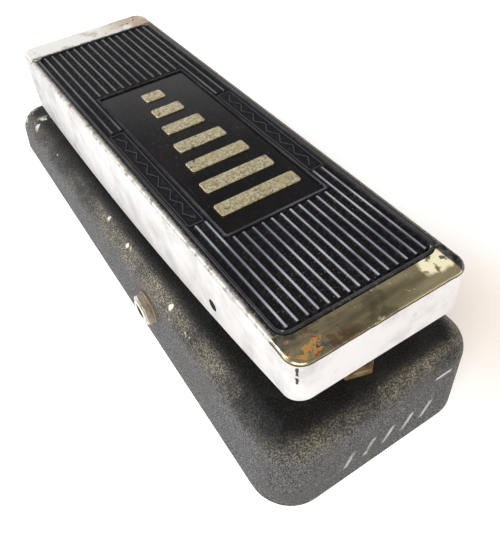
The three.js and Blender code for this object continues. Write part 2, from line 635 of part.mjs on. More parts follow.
const RACK_BACK = -3;
const RACK_FACE = 2; // root of the teeth
const PITCH_LINE = RACK_FACE + DEDENDUM;
const PINION_X = PITCH_LINE + PITCH_RADIUS;
const RACK_TEETH = 9;
const MESHED_TOOTH = 4; // the one level with the pinion's axis
const TOOTH_FULL = 0.42; // of the pitch, so that there is backlash
const FLANK = 0.32; // how much a flank leans for its height

function rackShape() {
  const half = (TOOTH_FULL * TOOTH_PITCH) / 2;
  const [root, tip] = [half + FLANK * DEDENDUM, half - FLANK * ADDENDUM];
  const outline = new THREE.Shape();
  outline.moveTo(RACK_BACK, RACK_BOTTOM);
  outline.lineTo(RACK_FACE, RACK_BOTTOM);
  for (let i = 0; i < RACK_TEETH; i++) {
    const z = PINION_Z + (i - MESHED_TOOTH) * TOOTH_PITCH;
    if (z - root < RACK_BOTTOM) continue;
    outline.lineTo(RACK_FACE, z - root);
    outline.lineTo(PITCH_LINE + ADDENDUM, z - tip);
    outline.lineTo(PITCH_LINE + ADDENDUM, z + tip);
    outline.lineTo(RACK_FACE, z + root);
  }
  outline.lineTo(RACK_FACE, RACK_PIN_Z + 3.5);
  outline.lineTo(RACK_BACK, RACK_PIN_Z + 3.5);
  return outline;
}

function rack() {
  const body = new THREE.ExtrudeGeometry(rackShape(), { depth: RACK_DEPTH, bevelEnabled: false })
    .rotateX(Math.PI / 2).translate(0, RACK_Y + RACK_DEPTH / 2, 0);
  const head = block(-3.6, 3.6, RACK_Y - 5, RACK_Y + 5, RACK_PIN_Z - 4.5, RACK_PIN_Z + 4);
  const slot = rodX(RACK_PIN_RADIUS + 0.5, -5, 5, 16).translate(0, RACK_Y, RACK_PIN_Z);
  const run = 1.6;
  const slotWide = block(-5, 5, RACK_Y - run, RACK_Y + run, RACK_PIN_Z - 1.95, RACK_PIN_Z + 1.95);
  const slotEnds = [slot.clone().translate(0, -run, 0), slot.clone().translate(0, run, 0)];
  return cut(join(body, head), slotWide, ...slotEnds);
}
add('rack', rack(), NYLON);

// The pinion's teeth: a tooth gap faces the rack's middle tooth
function pinion() {
  const outline = new THREE.Shape();
  const step = (2 * Math.PI) / TOOTH_COUNT;
  const [rootRadius, tipRadius] = [PITCH_RADIUS - DEDENDUM, PITCH_RADIUS + ADDENDUM];
  const wide = (0.56 * step) / 2;
  const pitchHalf = (TOOTH_FULL * step) / 2;
  const narrow = (0.2 * step) / 2;
  for (let i = 0; i < TOOTH_COUNT; i++) {
    const middle = Math.PI + step * (i + 0.5);
    const corners = [
      [rootRadius, -wide], [PITCH_RADIUS, -pitchHalf], [tipRadius, -narrow],
      [tipRadius, narrow], [PITCH_RADIUS, pitchHalf], [rootRadius, wide],
    ];
    for (const [r, turn] of corners) {
      const [x, z] = [r * Math.cos(middle + turn), r * Math.sin(middle + turn)];
      if (i === 0 && turn === -wide) outline.moveTo(x, z);
      else outline.lineTo(x, z);
    }
  }
  const width = RACK_DEPTH - 0.6;
  const gear = new THREE.ExtrudeGeometry(outline, { depth: width, bevelEnabled: false });
  gear.rotateX(Math.PI / 2).translate(0, width / 2, 0);
  return cut(gear, rodY(POT_SHAFT_RADIUS + CLEARANCE, -20, 20, 16));
}
add('pinion', pinion(), BRASS, pedal, [PINION_X, RACK_Y, PINION_Z]);

// ---- potentiometer and its bracket ------------------------------------------------------------
const POT_PLATE_THICKNESS = 1.5;
const POT_FRONT = POT_PLATE_Y + POT_PLATE_THICKNESS + GAP;
const POT_BUSH_END = POT_PLATE_Y - 1.8;

const potShaft = rodY(POT_SHAFT_RADIUS, RACK_Y - RACK_DEPTH / 2 - 0.5, POT_FRONT + 1.5, 16);
add('pot_shaft', potShaft, STEEL, pedal, [PINION_X, 0, PINION_Z]);

function potBody() {
  const can = rodY(POT_RADIUS, POT_FRONT, POT_FRONT + POT_DEPTH, 24);
  const bush = rodY(POT_BUSH_RADIUS, POT_BUSH_END, POT_FRONT + 1, 20);
  const lugs = [-4, 0, 4].map((x) => block(x - 1, x + 1, POT_FRONT + 3, POT_FRONT + 3.8, -12, -5));
  const bore = rodY(POT_SHAFT_RADIUS + CLEARANCE, POT_BUSH_END - 1, POT_FRONT + 3, 16);
  return cut(join(can, bush, ...lugs), bore);
}
add('pot_body', potBody(), STEEL, pedal, [PINION_X, 0, PINION_Z]);

const potRing = (blank) => cut(blank, rodY(POT_BUSH_RADIUS + CLEARANCE, -200, 200, 20));
const washerFace = POT_PLATE_Y - TRIM_GAP;
const potWasher = potRing(rodY(4.8, washerFace - 0.5, washerFace, 20));
add('pot_washer', potWasher, STEEL, pedal, [PINION_X, 0, PINION_Z]);
const nutFace = washerFace - 0.5 - TRIM_GAP;
add('pot_nut', potRing(rodY(5, nutFace - 0.9, nutFace, 6)), BRASS, pedal, [PINION_X, 0, PINION_Z]);

// An angle: an upright plate that holds the potentiometer, and a flange screwed under the deck
const FLANGE_TOP = BASE_Z + deckHeight(POT_SCREW_Y + 5) - BASE_WALL - GAP;
const BRACKET_X = [-8.5, 18.5];

function potBracket() {
  const plateBack = POT_PLATE_Y + POT_PLATE_THICKNESS;
  const flangeLow = FLANGE_TOP - POT_PLATE_THICKNESS;
  const upright = block(...BRACKET_X, POT_PLATE_Y, plateBack, PINION_Z - 6, FLANGE_TOP);
  const flange = block(...BRACKET_X, POT_PLATE_Y, POT_SCREW_Y + 4, flangeLow, FLANGE_TOP);
  const holes = [
    rodY(POT_BUSH_RADIUS + CLEARANCE, -80, 80, 20).translate(PINION_X, 0, PINION_Z),
    ...POT_SCREW_X.map((x) => rodZ(SCREW_BORE, 0, 60, 12).translate(x, POT_SCREW_Y, 0)),
  ];
  return cut(join(upright, flange), ...holes);
}
add('pot_bracket', potBracket(), STEEL);
const potScrewSeat = BASE_Z + deckHeight(POT_SCREW_Y - 3) + GAP;
for (const [place, x] of [['left', POT_SCREW_X[0]], ['right', POT_SCREW_X[1]]]) {
  const screw = panScrew(1.6, 7, 2.8, 1.8);
  add(`pot_bracket_screw_${place}`, screw, STEEL, pedal, [x, POT_SCREW_Y, potScrewSeat]);
}

// A nylon channel round the rack's back and sides, carried by the upright plate
function rackGuide() {
  const [low, high] = [PINION_Z - 5, PINION_Z + 5];
  const [outerX, innerX] = [RACK_BACK - 3.5, RACK_FACE - 0.6];
  const [frontY, backY] = [RACK_Y - 4.2, RACK_Y + RACK_DEPTH / 2 + GAP];
  const front = block(outerX, innerX, frontY, RACK_Y - RACK_DEPTH / 2 - GAP, low, high);
  const spine = block(outerX, RACK_BACK - GAP, frontY, backY + 1, low, high);
  const back = block(outerX, innerX, backY, POT_PLATE_Y - GAP, low, high);
  return join(spine, front, back);
}
add('rack_guide', rackGuide(), NYLON);

// ---- jacks --------------------------------------------------------------------------------
// Made for the right side, with the socket's axis on X, then turned for the left
const JACK_INNER_X = 39.6;
const JACK_ARM = 17;
const WASHER_THICKNESS = 0.8;
const NUT_THICKNESS = 2.6;
const ARM_Z = -8;

function jackFrame() {
  const bushEnd = JACK_SEAT_X + WASHER_THICKNESS + NUT_THICKNESS + 1.2;
  const bush = rodX(JACK_BUSH_RADIUS, JACK_INNER_X - 1, bushEnd, 24);
  const plate = block(JACK_INNER_X - 1.4, JACK_INNER_X, -7, 7, ARM_Z, 6.5);
  const arm = block(JACK_INNER_X - JACK_ARM, JACK_INNER_X - 0.2, -5, 5, ARM_Z, ARM_Z + 1.4);
  return cut(join(bush, plate, arm), rodX(JACK_BORE_RADIUS, 0, 80, 16));
}

function jackStack() {
  const x = JACK_INNER_X - JACK_ARM;
  return block(x + 0.5, x + 5.5, -4.5, 4.5, ARM_Z + 1.4 + TRIM_GAP, ARM_Z + 4.2);
}

// A leaf spring that runs back along the arm and bends in to touch the plug's tip
function jackContact() {
  const x = JACK_INNER_X - JACK_ARM;
  const low = ARM_Z + 4.2 + TRIM_GAP;
  const leaf = new THREE.Shape();
  const path = [[x - 2.5, low], [x + 6, low], [x + 9.5, -1.6], [x + 12, -2.8]];
  const thickness = 0.5;
  leaf.moveTo(...path[0]);
  for (const [px, pz] of path.slice(1)) leaf.lineTo(px, pz);
  for (const [px, pz] of path.slice().reverse()) leaf.lineTo(px, pz + thickness);
  return new THREE.ExtrudeGeometry(leaf, { depth: 4, bevelEnabled: false })
    .rotateX(Math.PI / 2).translate(0, 2, 0);
}

function jackWasher() {
  const face = JACK_SEAT_X + GAP;
  const ring = rodX(7.2, face, face + WASHER_THICKNESS, 24);
  return cut(ring, rodX(JACK_BUSH_RADIUS + CLEARANCE, 0, 80, 24));
}

function jackNut() {
  const face = JACK_SEAT_X + GAP + WASHER_THICKNESS + TRIM_GAP;
  const blank = hexagon(JACK_NUT_FLATS, face, face + NUT_THICKNESS - 0.4, 0.35);
  const crown = rodZ(JACK_NUT_FLATS / 2, face, face + NUT_THICKNESS, 24);
  const chamfer = turned([
    [0, face - 1], [JACK_NUT_FLATS * 0.6, face - 1], [JACK_NUT_FLATS * 0.6, face + NUT_THICKNESS - 1.2],
    [JACK_NUT_FLATS / 2 - 0.4, face + NUT_THICKNESS], [0, face + NUT_THICKNESS],
  ], 24);
  const nut = common(join(blank, crown), chamfer).rotateY(Math.PI / 2);
  return cut(nut, rodX(JACK_BUSH_RADIUS + CLEARANCE, 0, 80, 24));
}

for (const [side, turn] of [['right', 0], ['left', Math.PI]]) {
  const jack = new THREE.Group();
  jack.position.set(0, JACK_Y, JACK_Z);
  jack.rotation.z = turn;
  pedal.add(jack);
  add(`${side}_jack_frame`, jackFrame(), STEEL, jack);
  add(`${side}_jack_stack`, jackStack(), PHENOLIC, jack);
  add(`${side}_jack_contact`, jackContact(), BRASS, jack);
  add(`${side}_jack_washer`, jackWasher(), BRASS, jack);
  add(`${side}_jack_nut`, jackNut(), STEEL, jack);
}

// ---- wires between the jacks and the potentiometer --------------------------------------------
function wire(points) {
  const route = new THREE.CatmullRomCurve3(points.map((p) => new THREE.Vector3(...p)));
  const section = new THREE.Shape().absarc(0, 0, 0.7, 0, 2 * Math.PI, false);
  return new THREE.ExtrudeGeometry(section, { steps: 16, curveSegments: 4, extrudePath: route });
}
const contactX = JACK_INNER_X - JACK_ARM - 2;
const contactZ = JACK_Z + ARM_Z + 6.5;
const lugY = POT_FRONT + 6;
const wireLow = BASE_Z + 1.2;
add('wire_output', wire([
  [contactX, JACK_Y + 0.5, contactZ], [contactX - 1, JACK_Y + 9, contactZ - 1], [18, lugY + 3, wireLow + 3],
  [PINION_X + 4, lugY, wireLow + 1.5],
]), WIRE_WHITE);
add('wire_input', wire([
  [-contactX, JACK_Y - 0.5, contactZ], [-contactX + 1, JACK_Y + 10, contactZ - 1],
  [-9, lugY + 8, wireLow + 3], [PINION_X - 4, lugY, wireLow + 1.5],
]), WIRE_RED);
add('wire_ground', wire([
  [-33, JACK_Y + 7, wireLow + 1.5], [-22, lugY + 14, wireLow], [-4, lugY + 15, wireLow],
  [PINION_X, lugY + 0.5, wireLow + 1.5],
]), WIRE_BLACK);

// ---- heel pads --------------------------------------------------------------------------------
const heelPadY = PIVOT_Y + HEEL_BOSS_Y * Math.cos(TREADLE_TILT);
for (const [place, side] of [['left', -1], ['right', 1]]) {
  const pad = turned([[0, GAP], [6, GAP], [6, PAD_HEIGHT - 0.6], [5.4, PAD_HEIGHT], [0, PAD_HEIGHT]], 20);
  add(`heel_stop_pad_${place}`, pad, RUBBER, deck, [side * HEEL_BOSS_X, alongDeck(heelPadY), 0]);
}

// ---- toe switch -------------------------------------------------------------------------------
const toeSwitch = new THREE.Group();
toeSwitch.position.set(SWITCH_X, alongDeck(SWITCH_Y), 0);
deck.add(toeSwitch);
const SWITCH_NUT_HEIGHT = 2.6;
const SWITCH_BUSH_TOP = 4.6;
const BUTTON_TOP = 13.9;

function switchBody() {
  const box = block(-8.5, 8.5, -8.5, 8.5, -BASE_WALL - GAP - 16, -BASE_WALL - GAP);
  const bush = rodZ(SWITCH_BUSH_RADIUS, -BASE_WALL - GAP - 1, SWITCH_BUSH_TOP, 24);
  const lugs = [-1, 0, 1].flatMap((i) =>
    [-1, 1].map((j) => block(i * 5 - 1, i * 5 + 1, j * 4 - 0.4, j * 4 + 0.4, -24, -19)));
  const bore = rodZ(BUTTON_RADIUS + CLEARANCE, -7, 20, 20);
  return cut(join(box, bush, ...lugs), bore);
}
add('toe_switch_body', switchBody(), STEEL, toeSwitch);

function switchNut() {
  const blank = hexagon(SWITCH_NUT_FLATS, GAP, GAP + SWITCH_NUT_HEIGHT, THREE.MathUtils.degToRad(43));
  return cut(blank, rodZ(SWITCH_BUSH_RADIUS + CLEARANCE, -5, 10, 24));
}
add('toe_switch_nut', switchNut(), BRASS, toeSwitch);
const button = turned([
  [0, -2], [BUTTON_RADIUS, -2], [BUTTON_RADIUS, BUTTON_TOP - 1],
  [BUTTON_RADIUS - 1, BUTTON_TOP], [0, BUTTON_TOP],
]);
add('toe_switch_button', button, STEEL, toeSwitch);

const pressPad = turned([[0, 0], [5.5, 0], [5.5, 2.4], [0, 2.4]], 20);
add('toe_press_pad', pressPad, FELT, treadle, [SWITCH_X, PRESS_BOSS_Y, PRESS_BOSS_Z - 2.4 - TRIM_GAP]);

export default pedal;
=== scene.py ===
"""Looks of a rocker foot pedal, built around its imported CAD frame. Sizes in the shape code are
millimetres and become metres when a mesh is made."""

import random
from math import atan, cos, pi, radians, sin, sqrt

import bmesh
import bpy
from mathutils import Matrix, Vector


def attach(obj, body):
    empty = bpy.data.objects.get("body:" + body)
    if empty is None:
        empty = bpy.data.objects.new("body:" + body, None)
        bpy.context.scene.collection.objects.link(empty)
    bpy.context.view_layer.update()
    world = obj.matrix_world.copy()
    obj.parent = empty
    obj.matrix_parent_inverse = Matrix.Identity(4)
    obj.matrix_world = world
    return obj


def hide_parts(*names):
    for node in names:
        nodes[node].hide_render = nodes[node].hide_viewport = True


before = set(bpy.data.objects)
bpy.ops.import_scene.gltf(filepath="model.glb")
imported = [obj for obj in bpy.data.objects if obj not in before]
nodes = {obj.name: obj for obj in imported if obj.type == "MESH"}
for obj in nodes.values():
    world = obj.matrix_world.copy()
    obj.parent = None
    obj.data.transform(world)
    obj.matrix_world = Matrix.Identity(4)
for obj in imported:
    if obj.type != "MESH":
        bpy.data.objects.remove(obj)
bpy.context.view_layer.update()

MM = 0.001

# ---- the CAD's driving dimensions, in millimetres ----
GAP, TRIM_GAP = 0.3, 0.15
BASE_LENGTH, BASE_WIDTH = 254.0, 90.0
TOE_HEIGHT, HEEL_HEIGHT = 40.5, 19.0
TOE_CORNER, HEEL_CORNER = 16.0, 13.0
BASE_WALL, BASE_DRAFT, BASE_EDGE = 3.0, 0.08, 10.5
PLATE_Z, PLATE_THICKNESS = 3.3, 1.2
BASE_Z = PLATE_Z + PLATE_THICKNESS + GAP
FOOT_X, FOOT_TOE_Y, FOOT_HEEL_Y = 27.0, -107.0, 108.0
FOOT_RADIUS, FOOT_HEIGHT = 8.0, 3.0
PIVOT_Y, PIVOT_Z = -70.0, BASE_Z + 52.7
TREADLE_TILT = radians(5)
TREADLE_WIDTH, TREADLE_LENGTH = 66.0, 232.0
TREADLE_TOE, TREADLE_TOP = -46.8, 17.8
TREADLE_HEEL = TREADLE_TOE + TREADLE_LENGTH
TREADLE_CORNER, TREADLE_EDGE, TREADLE_DECK, SKIRT_WALL, PIN_BORE = 6.0, 1.5, 5.0, 2.5, 2.2
SKIRT_TOE, SKIRT_RISE, SKIRT_BOW = 18.2, 9.5, 8.0
MAT_WIDTH, MAT_CORNER, MAT_POCKET, MAT_BASE = 61.0, 5.0, 2.2, 1.6
MAT_TOE_MARGIN, MAT_HEEL_MARGIN = 10.7, 14.3
BEAD_WIDTH, BEAD_HEIGHT = 1.6, 0.9
RIB_COUNT, RIB_PITCH, RIB_WIDTH, RIB_HEIGHT, RIB_GAP = 15, 3.75, 1.5, 0.8, 2.4
PANEL_WIDTH, PANEL_START, PANEL_END, PANEL_THICKNESS = 40.0, 56.0, 162.0, 0.8
FRAME_WIDTH, FRAME_HEIGHT = 1.2, 0.7
STRIP_START, STRIP_END, STRIP_INNER, STRIP_OUTER = 66.0, 134.0, 22.3, 28.1
OUTLINE_WIDTH, OUTLINE_HEIGHT = 0.45, 0.3
ZIGZAG_STEPS, ZIGZAG_SWING, ZIGZAG_WIDTH, ZIGZAG_HEIGHT = 13, 1.35, 0.42, 0.28
BAR_COUNT, BAR_DEPTH, BAR_THICKNESS, BAR_SHORT, BAR_LONG = 7, 6.5, 0.5, 9.0, 33.0
JACK_Y, JACK_Z, JACK_SEAT_X = -32.5, BASE_Z + 16.6, 43.0
JACK_INNER_X, JACK_BUSH, JACK_BORE = 39.6, 4.7, 3.3
WASHER_THICKNESS, WASHER_RADIUS, NUT_THICKNESS, JACK_NUT_FLATS = 0.8, 7.2, 2.6, 12.7
THREAD_PITCH, THREAD_DEPTH = 0.7, 0.28
SWITCH_X, SWITCH_Y, SWITCH_BORE, SWITCH_BUSH, SWITCH_BUSH_TOP = -1.5, -105.0, 4.1, 5.8, 4.6
SWITCH_NUT_FLATS, BUTTON_RADIUS, BUTTON_TOP = 16.0, 4.0, 13.9
RACK_ARM = 34.0

DECK_SLOPE = atan((TOE_HEIGHT - HEEL_HEIGHT) / BASE_LENGTH)
POCKET_TOE, POCKET_HEEL = TREADLE_TOE + MAT_TOE_MARGIN, TREADLE_HEEL - MAT_HEEL_MARGIN
MAT_TOE, MAT_HEEL = POCKET_TOE + TRIM_GAP, POCKET_HEEL - TRIM_GAP
STRIP_TOE, STRIP_HEEL = TREADLE_TOE + STRIP_START, TREADLE_TOE + STRIP_END
MAT_Z = TREADLE_TOP - MAT_POCKET + TRIM_GAP
FIELD_Z = MAT_Z + MAT_BASE
PANEL_Y0, PANEL_Y1 = TREADLE_TOE + PANEL_START, TREADLE_TOE + PANEL_END
PANEL_MIDDLE, PANEL_LENGTH = (PANEL_Y0 + PANEL_Y1) / 2, PANEL_END - PANEL_START
PANEL_FLOOR = FIELD_Z - 0.9


def deck_height(y):
    """Height of the base's sloping top above its rim."""
    return TOE_HEIGHT - (TOE_HEIGHT - HEEL_HEIGHT) * (y + BASE_LENGTH / 2) / BASE_LENGTH


def skirt_depth(y):
    t = min(1.0, max(0.0, (y - TREADLE_TOE) / TREADLE_LENGTH))
    return SKIRT_TOE + SKIRT_RISE * t + 4 * SKIRT_BOW * t * (1 - t)


DECK_Z = BASE_Z + deck_height(0)
ROW = Matrix.Identity(4)
DECK = Matrix.Translation((0, 0, DECK_Z * MM)) @ Matrix.Rotation(-DECK_SLOPE, 4, "X")
TREADLE = Matrix.Translation((0, PIVOT_Y * MM, PIVOT_Z * MM)) @ Matrix.Rotation(-TREADLE_TILT, 4, "X")


def new_object(name, data):
    obj = bpy.data.objects.new(name, data)
    bpy.context.scene.collection.objects.link(obj)
    return obj


# ---- camera ----
CAMERA_AZIMUTH, CAMERA_ELEVATION = radians(-32.04), radians(50.45)
CAMERA_ROLL = radians(1.354)
CAMERA_TARGET, CAMERA_DISTANCE = Vector((-0.00392, -0.04737, 0.0348)), 0.23837
CAMERA_LENS = 40.41


def make_camera():
    flat = cos(CAMERA_ELEVATION)
    x, y = sin(CAMERA_AZIMUTH) * flat, -cos(CAMERA_AZIMUTH) * flat
    back = Vector((x, y, sin(CAMERA_ELEVATION)))
    right = Vector((0, 0, 1)).cross(back).normalized()
    up = back.cross(right)
    c, s = cos(CAMERA_ROLL), sin(CAMERA_ROLL)
    right, up = c * right - s * up, s * right + c * up
    camera = new_object("camera", bpy.data.cameras.new("camera"))
    turn = Matrix((right, up, back)).transposed().to_4x4()
    camera.matrix_world = Matrix.Translation(CAMERA_TARGET + back * CAMERA_DISTANCE) @ turn
    camera.data.lens = CAMERA_LENS
    camera.data.sensor_width = 36
    camera.data.clip_start = 0.01
    bpy.context.scene.camera = camera


make_camera()


# ---- shape helpers ----
class Shape:
    """Vertices in millimetres and faces of a closed shape."""

    def __init__(self, verts=(), faces=()):
        self.verts = [Vector(v) for v in verts]
        self.faces = [list(f) for f in faces]

    def __add__(self, other):
        start = len(self.verts)
        return Shape(self.verts + other.verts, self.faces + [[i + start for i in f] for f in other.faces])

    def moved(self, x=0.0, y=0.0, z=0.0):
        return Shape([v + Vector((x, y, z)) for v in self.verts], self.faces)

    def turned(self, angle, axis):
        turn = Matrix.Rotation(angle, 3, axis)
        return Shape([turn @ v for v in self.verts], self.faces)


def loft(rings):
    """A closed skin through rings of equally many points, with a face on each end."""
    count = len(rings[0])
    verts = [p for ring in rings for p in ring]
    faces = []
    for a in range(0, (len(rings) - 1) * count, count):
        b = a + count
        for i in range(count):
            j = (i + 1) % count
            faces.append([a + i, a + j, b + j, b + i])
    faces.append(list(range(count))[::-1])
    faces.append(list(range((len(rings) - 1) * count, len(rings) * count)))
    return Shape(verts, faces)


def plan(width, y0, y1, toe_radius, heel_radius, arc=16, straight=24):
    """Points round a rounded rectangle: corner centre, corner radius and outward direction."""
    corners = [(1, y0, toe_radius, -90), (1, y1, heel_radius, 0)]
    corners += [(-1, y1, heel_radius, 90), (-1, y0, toe_radius, 180)]
    points = []
    for k, (side, end, radius, start) in enumerate(corners):
        x = side * (width / 2 - radius)
        y = end + (radius if end == y0 else -radius)
        for i in range(arc + 1):
            angle = radians(start + 90 * i / arc)
            points.append((x, y, radius, cos(angle), sin(angle)))
        side2, end2, radius2, _ = corners[(k + 1) % 4]
        x2 = side2 * (width / 2 - radius2)
        y2 = end2 + (radius2 if end2 == y0 else -radius2)
        dx, dy = points[-1][3], points[-1][4]
        steps = straight if k % 2 == 0 else max(2, straight // 3)
        for i in range(1, steps):
            t = i / steps
            points.append((x + (x2 - x) * t, y + (y2 - y) * t, radius + (radius2 - radius) * t, dx, dy))
    return points


def ring(points, inset, height):
    """A ring of the plan, set in. inset is a number or a function of Y, and so is height."""
    out = []
    for x, y, radius, dx, dy in points:
        depth = inset(y + dy * radius) if callable(inset) else inset
        px, py = x + dx * (radius - depth), y + dy * (radius - depth)
        out.append((px, py, height(py) if callable(height) else height))
    return out


def arc_angles(steps):
    return [(i + 1) * pi / 2 / steps for i in range(steps)]


def block(x0, x1, y0, y1, z0, z1):
    return loft([[(x0, y0, z), (x1, y0, z), (x1, y1, z), (x0, y1, z)] for z in (z0, z1)])


def lathe(profile, sides=48):
    """A closed piece turned round Z, from [radius, z] points. Ends on the axis become fans."""
    verts, faces, rows = [], [], []
    for r, z in profile:
        if r < 1e-6:
            rows.append([len(verts)])
            verts.append((0, 0, z))
        else:
            rows.append(list(range(len(verts), len(verts) + sides)))
            for i in range(sides):
                angle = 2 * pi * i / sides
                verts.append((r * cos(angle), r * sin(angle), z))
    for a, b in zip(rows, rows[1:]):
        for i in range(sides):
            j = (i + 1) % sides
            if len(a) == 1 and len(b) == 1:
                continue
            if len(a) == 1:
                faces.append([a[0], b[j], b[i]])
            elif len(b) == 1:
                faces.append([a[i], a[j], b[0]])
            else:
                faces.append([a[i], a[j], b[j], b[i]])
    if len(rows[0]) > 1 and profile[0] == profile[-1]:
        last = {v: rows[0][i] for i, v in enumerate(rows[-1])}
        faces = [[last.get(v, v) for v in f] for f in faces]
        verts = verts[: rows[-1][0]]
    return Shape(verts, faces)


def rod(radius, low, high, axis="Z", sides=48):
    shape = lathe([(0, low), (radius, low), (radius, high), (0, high)], sides)
    if axis == "X":
        return shape.turned(pi / 2, "Y")
    if axis == "Y":
        return shape.turned(-pi / 2, "X")
    return shape


def slab(width, length, radius, z0, z1, arc=8, edge=0.0):
    """A slab with rounded corners, whose top edge may be rounded."""
    points = plan(width, -length / 2, length / 2, radius, radius, arc, 3)
    rings = [ring(points, 0.0, z0), ring(points, 0.0, z1 - edge)]
    if edge:
        for angle in arc_angles(3):
            rings.append(ring(points, edge * (1 - cos(angle)), z1 - edge * (1 - sin(angle))))
    return loft(rings)


def build(name, shape, matrix=ROW):
    """A mesh object from a shape, with its faces turned outwards."""
    mesh = bpy.data.meshes.new(name)
    mesh.from_pydata([tuple(v * MM) for v in shape.verts], [], shape.faces)
    bm = bmesh.new()
    bm.from_mesh(mesh)
    bmesh.ops.recalc_face_normals(bm, faces=bm.faces)
    bm.to_mesh(mesh)
    bm.free()
    obj = new_object(name, mesh)
    obj.matrix_world = matrix
    return obj


def settle(obj):
    """Applies an object's modifiers to its mesh."""
    bpy.context.view_layer.update()
    graph = bpy.context.evaluated_depsgraph_get()
    made = bpy.data.meshes.new_from_object(obj.evaluated_get(graph))
    obj.modifiers.clear()
    old, obj.data = obj.data, made
    made.name = obj.name
    bpy.data.meshes.remove(old)
    return obj


def combine(obj, *steps):
    """Booleans one after the other. A step is the operation's name and a shape."""
    tools = []
    for operation, shape in steps:
        tool = build("tool", shape, obj.matrix_world.copy())
        tool.hide_render = True
        tools.append(tool)
        step = obj.modifiers.new("step", "BOOLEAN")
        step.operation, step.object, step.solver = operation, tool, "EXACT"
    settle(obj)
    for tool in tools:
        mesh = tool.data
        bpy.data.objects.remove(tool)
        bpy.data.meshes.remove(mesh)
    return obj


def polish(obj, sharp=32, bevel=0.0, weighted=True):
    """Smooth shading with sharp edges, after an optional small bevel in millimetres."""
    if bevel:
        step = obj.modifiers.new("bevel", "BEVEL")
        step.width, step.segments, step.limit_method = bevel * MM, 2, "ANGLE"
        step.angle_limit = radians(sharp)
        step.use_clamp_overlap = True
        settle(obj)
    obj.data.shade_smooth()
    obj.data.set_sharp_from_angle(angle=radians(sharp))
    if weighted:
        step = obj.modifiers.new("weight", "WEIGHTED_NORMAL")
        step.keep_sharp, step.weight = True, 50
        settle(obj)
    return obj


def place(obj, body, slot, material, *replaced):
    obj.data.materials.clear()
    obj.data.materials.append(material)
    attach(obj, body)
    if replaced:
        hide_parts(*replaced)
    return obj


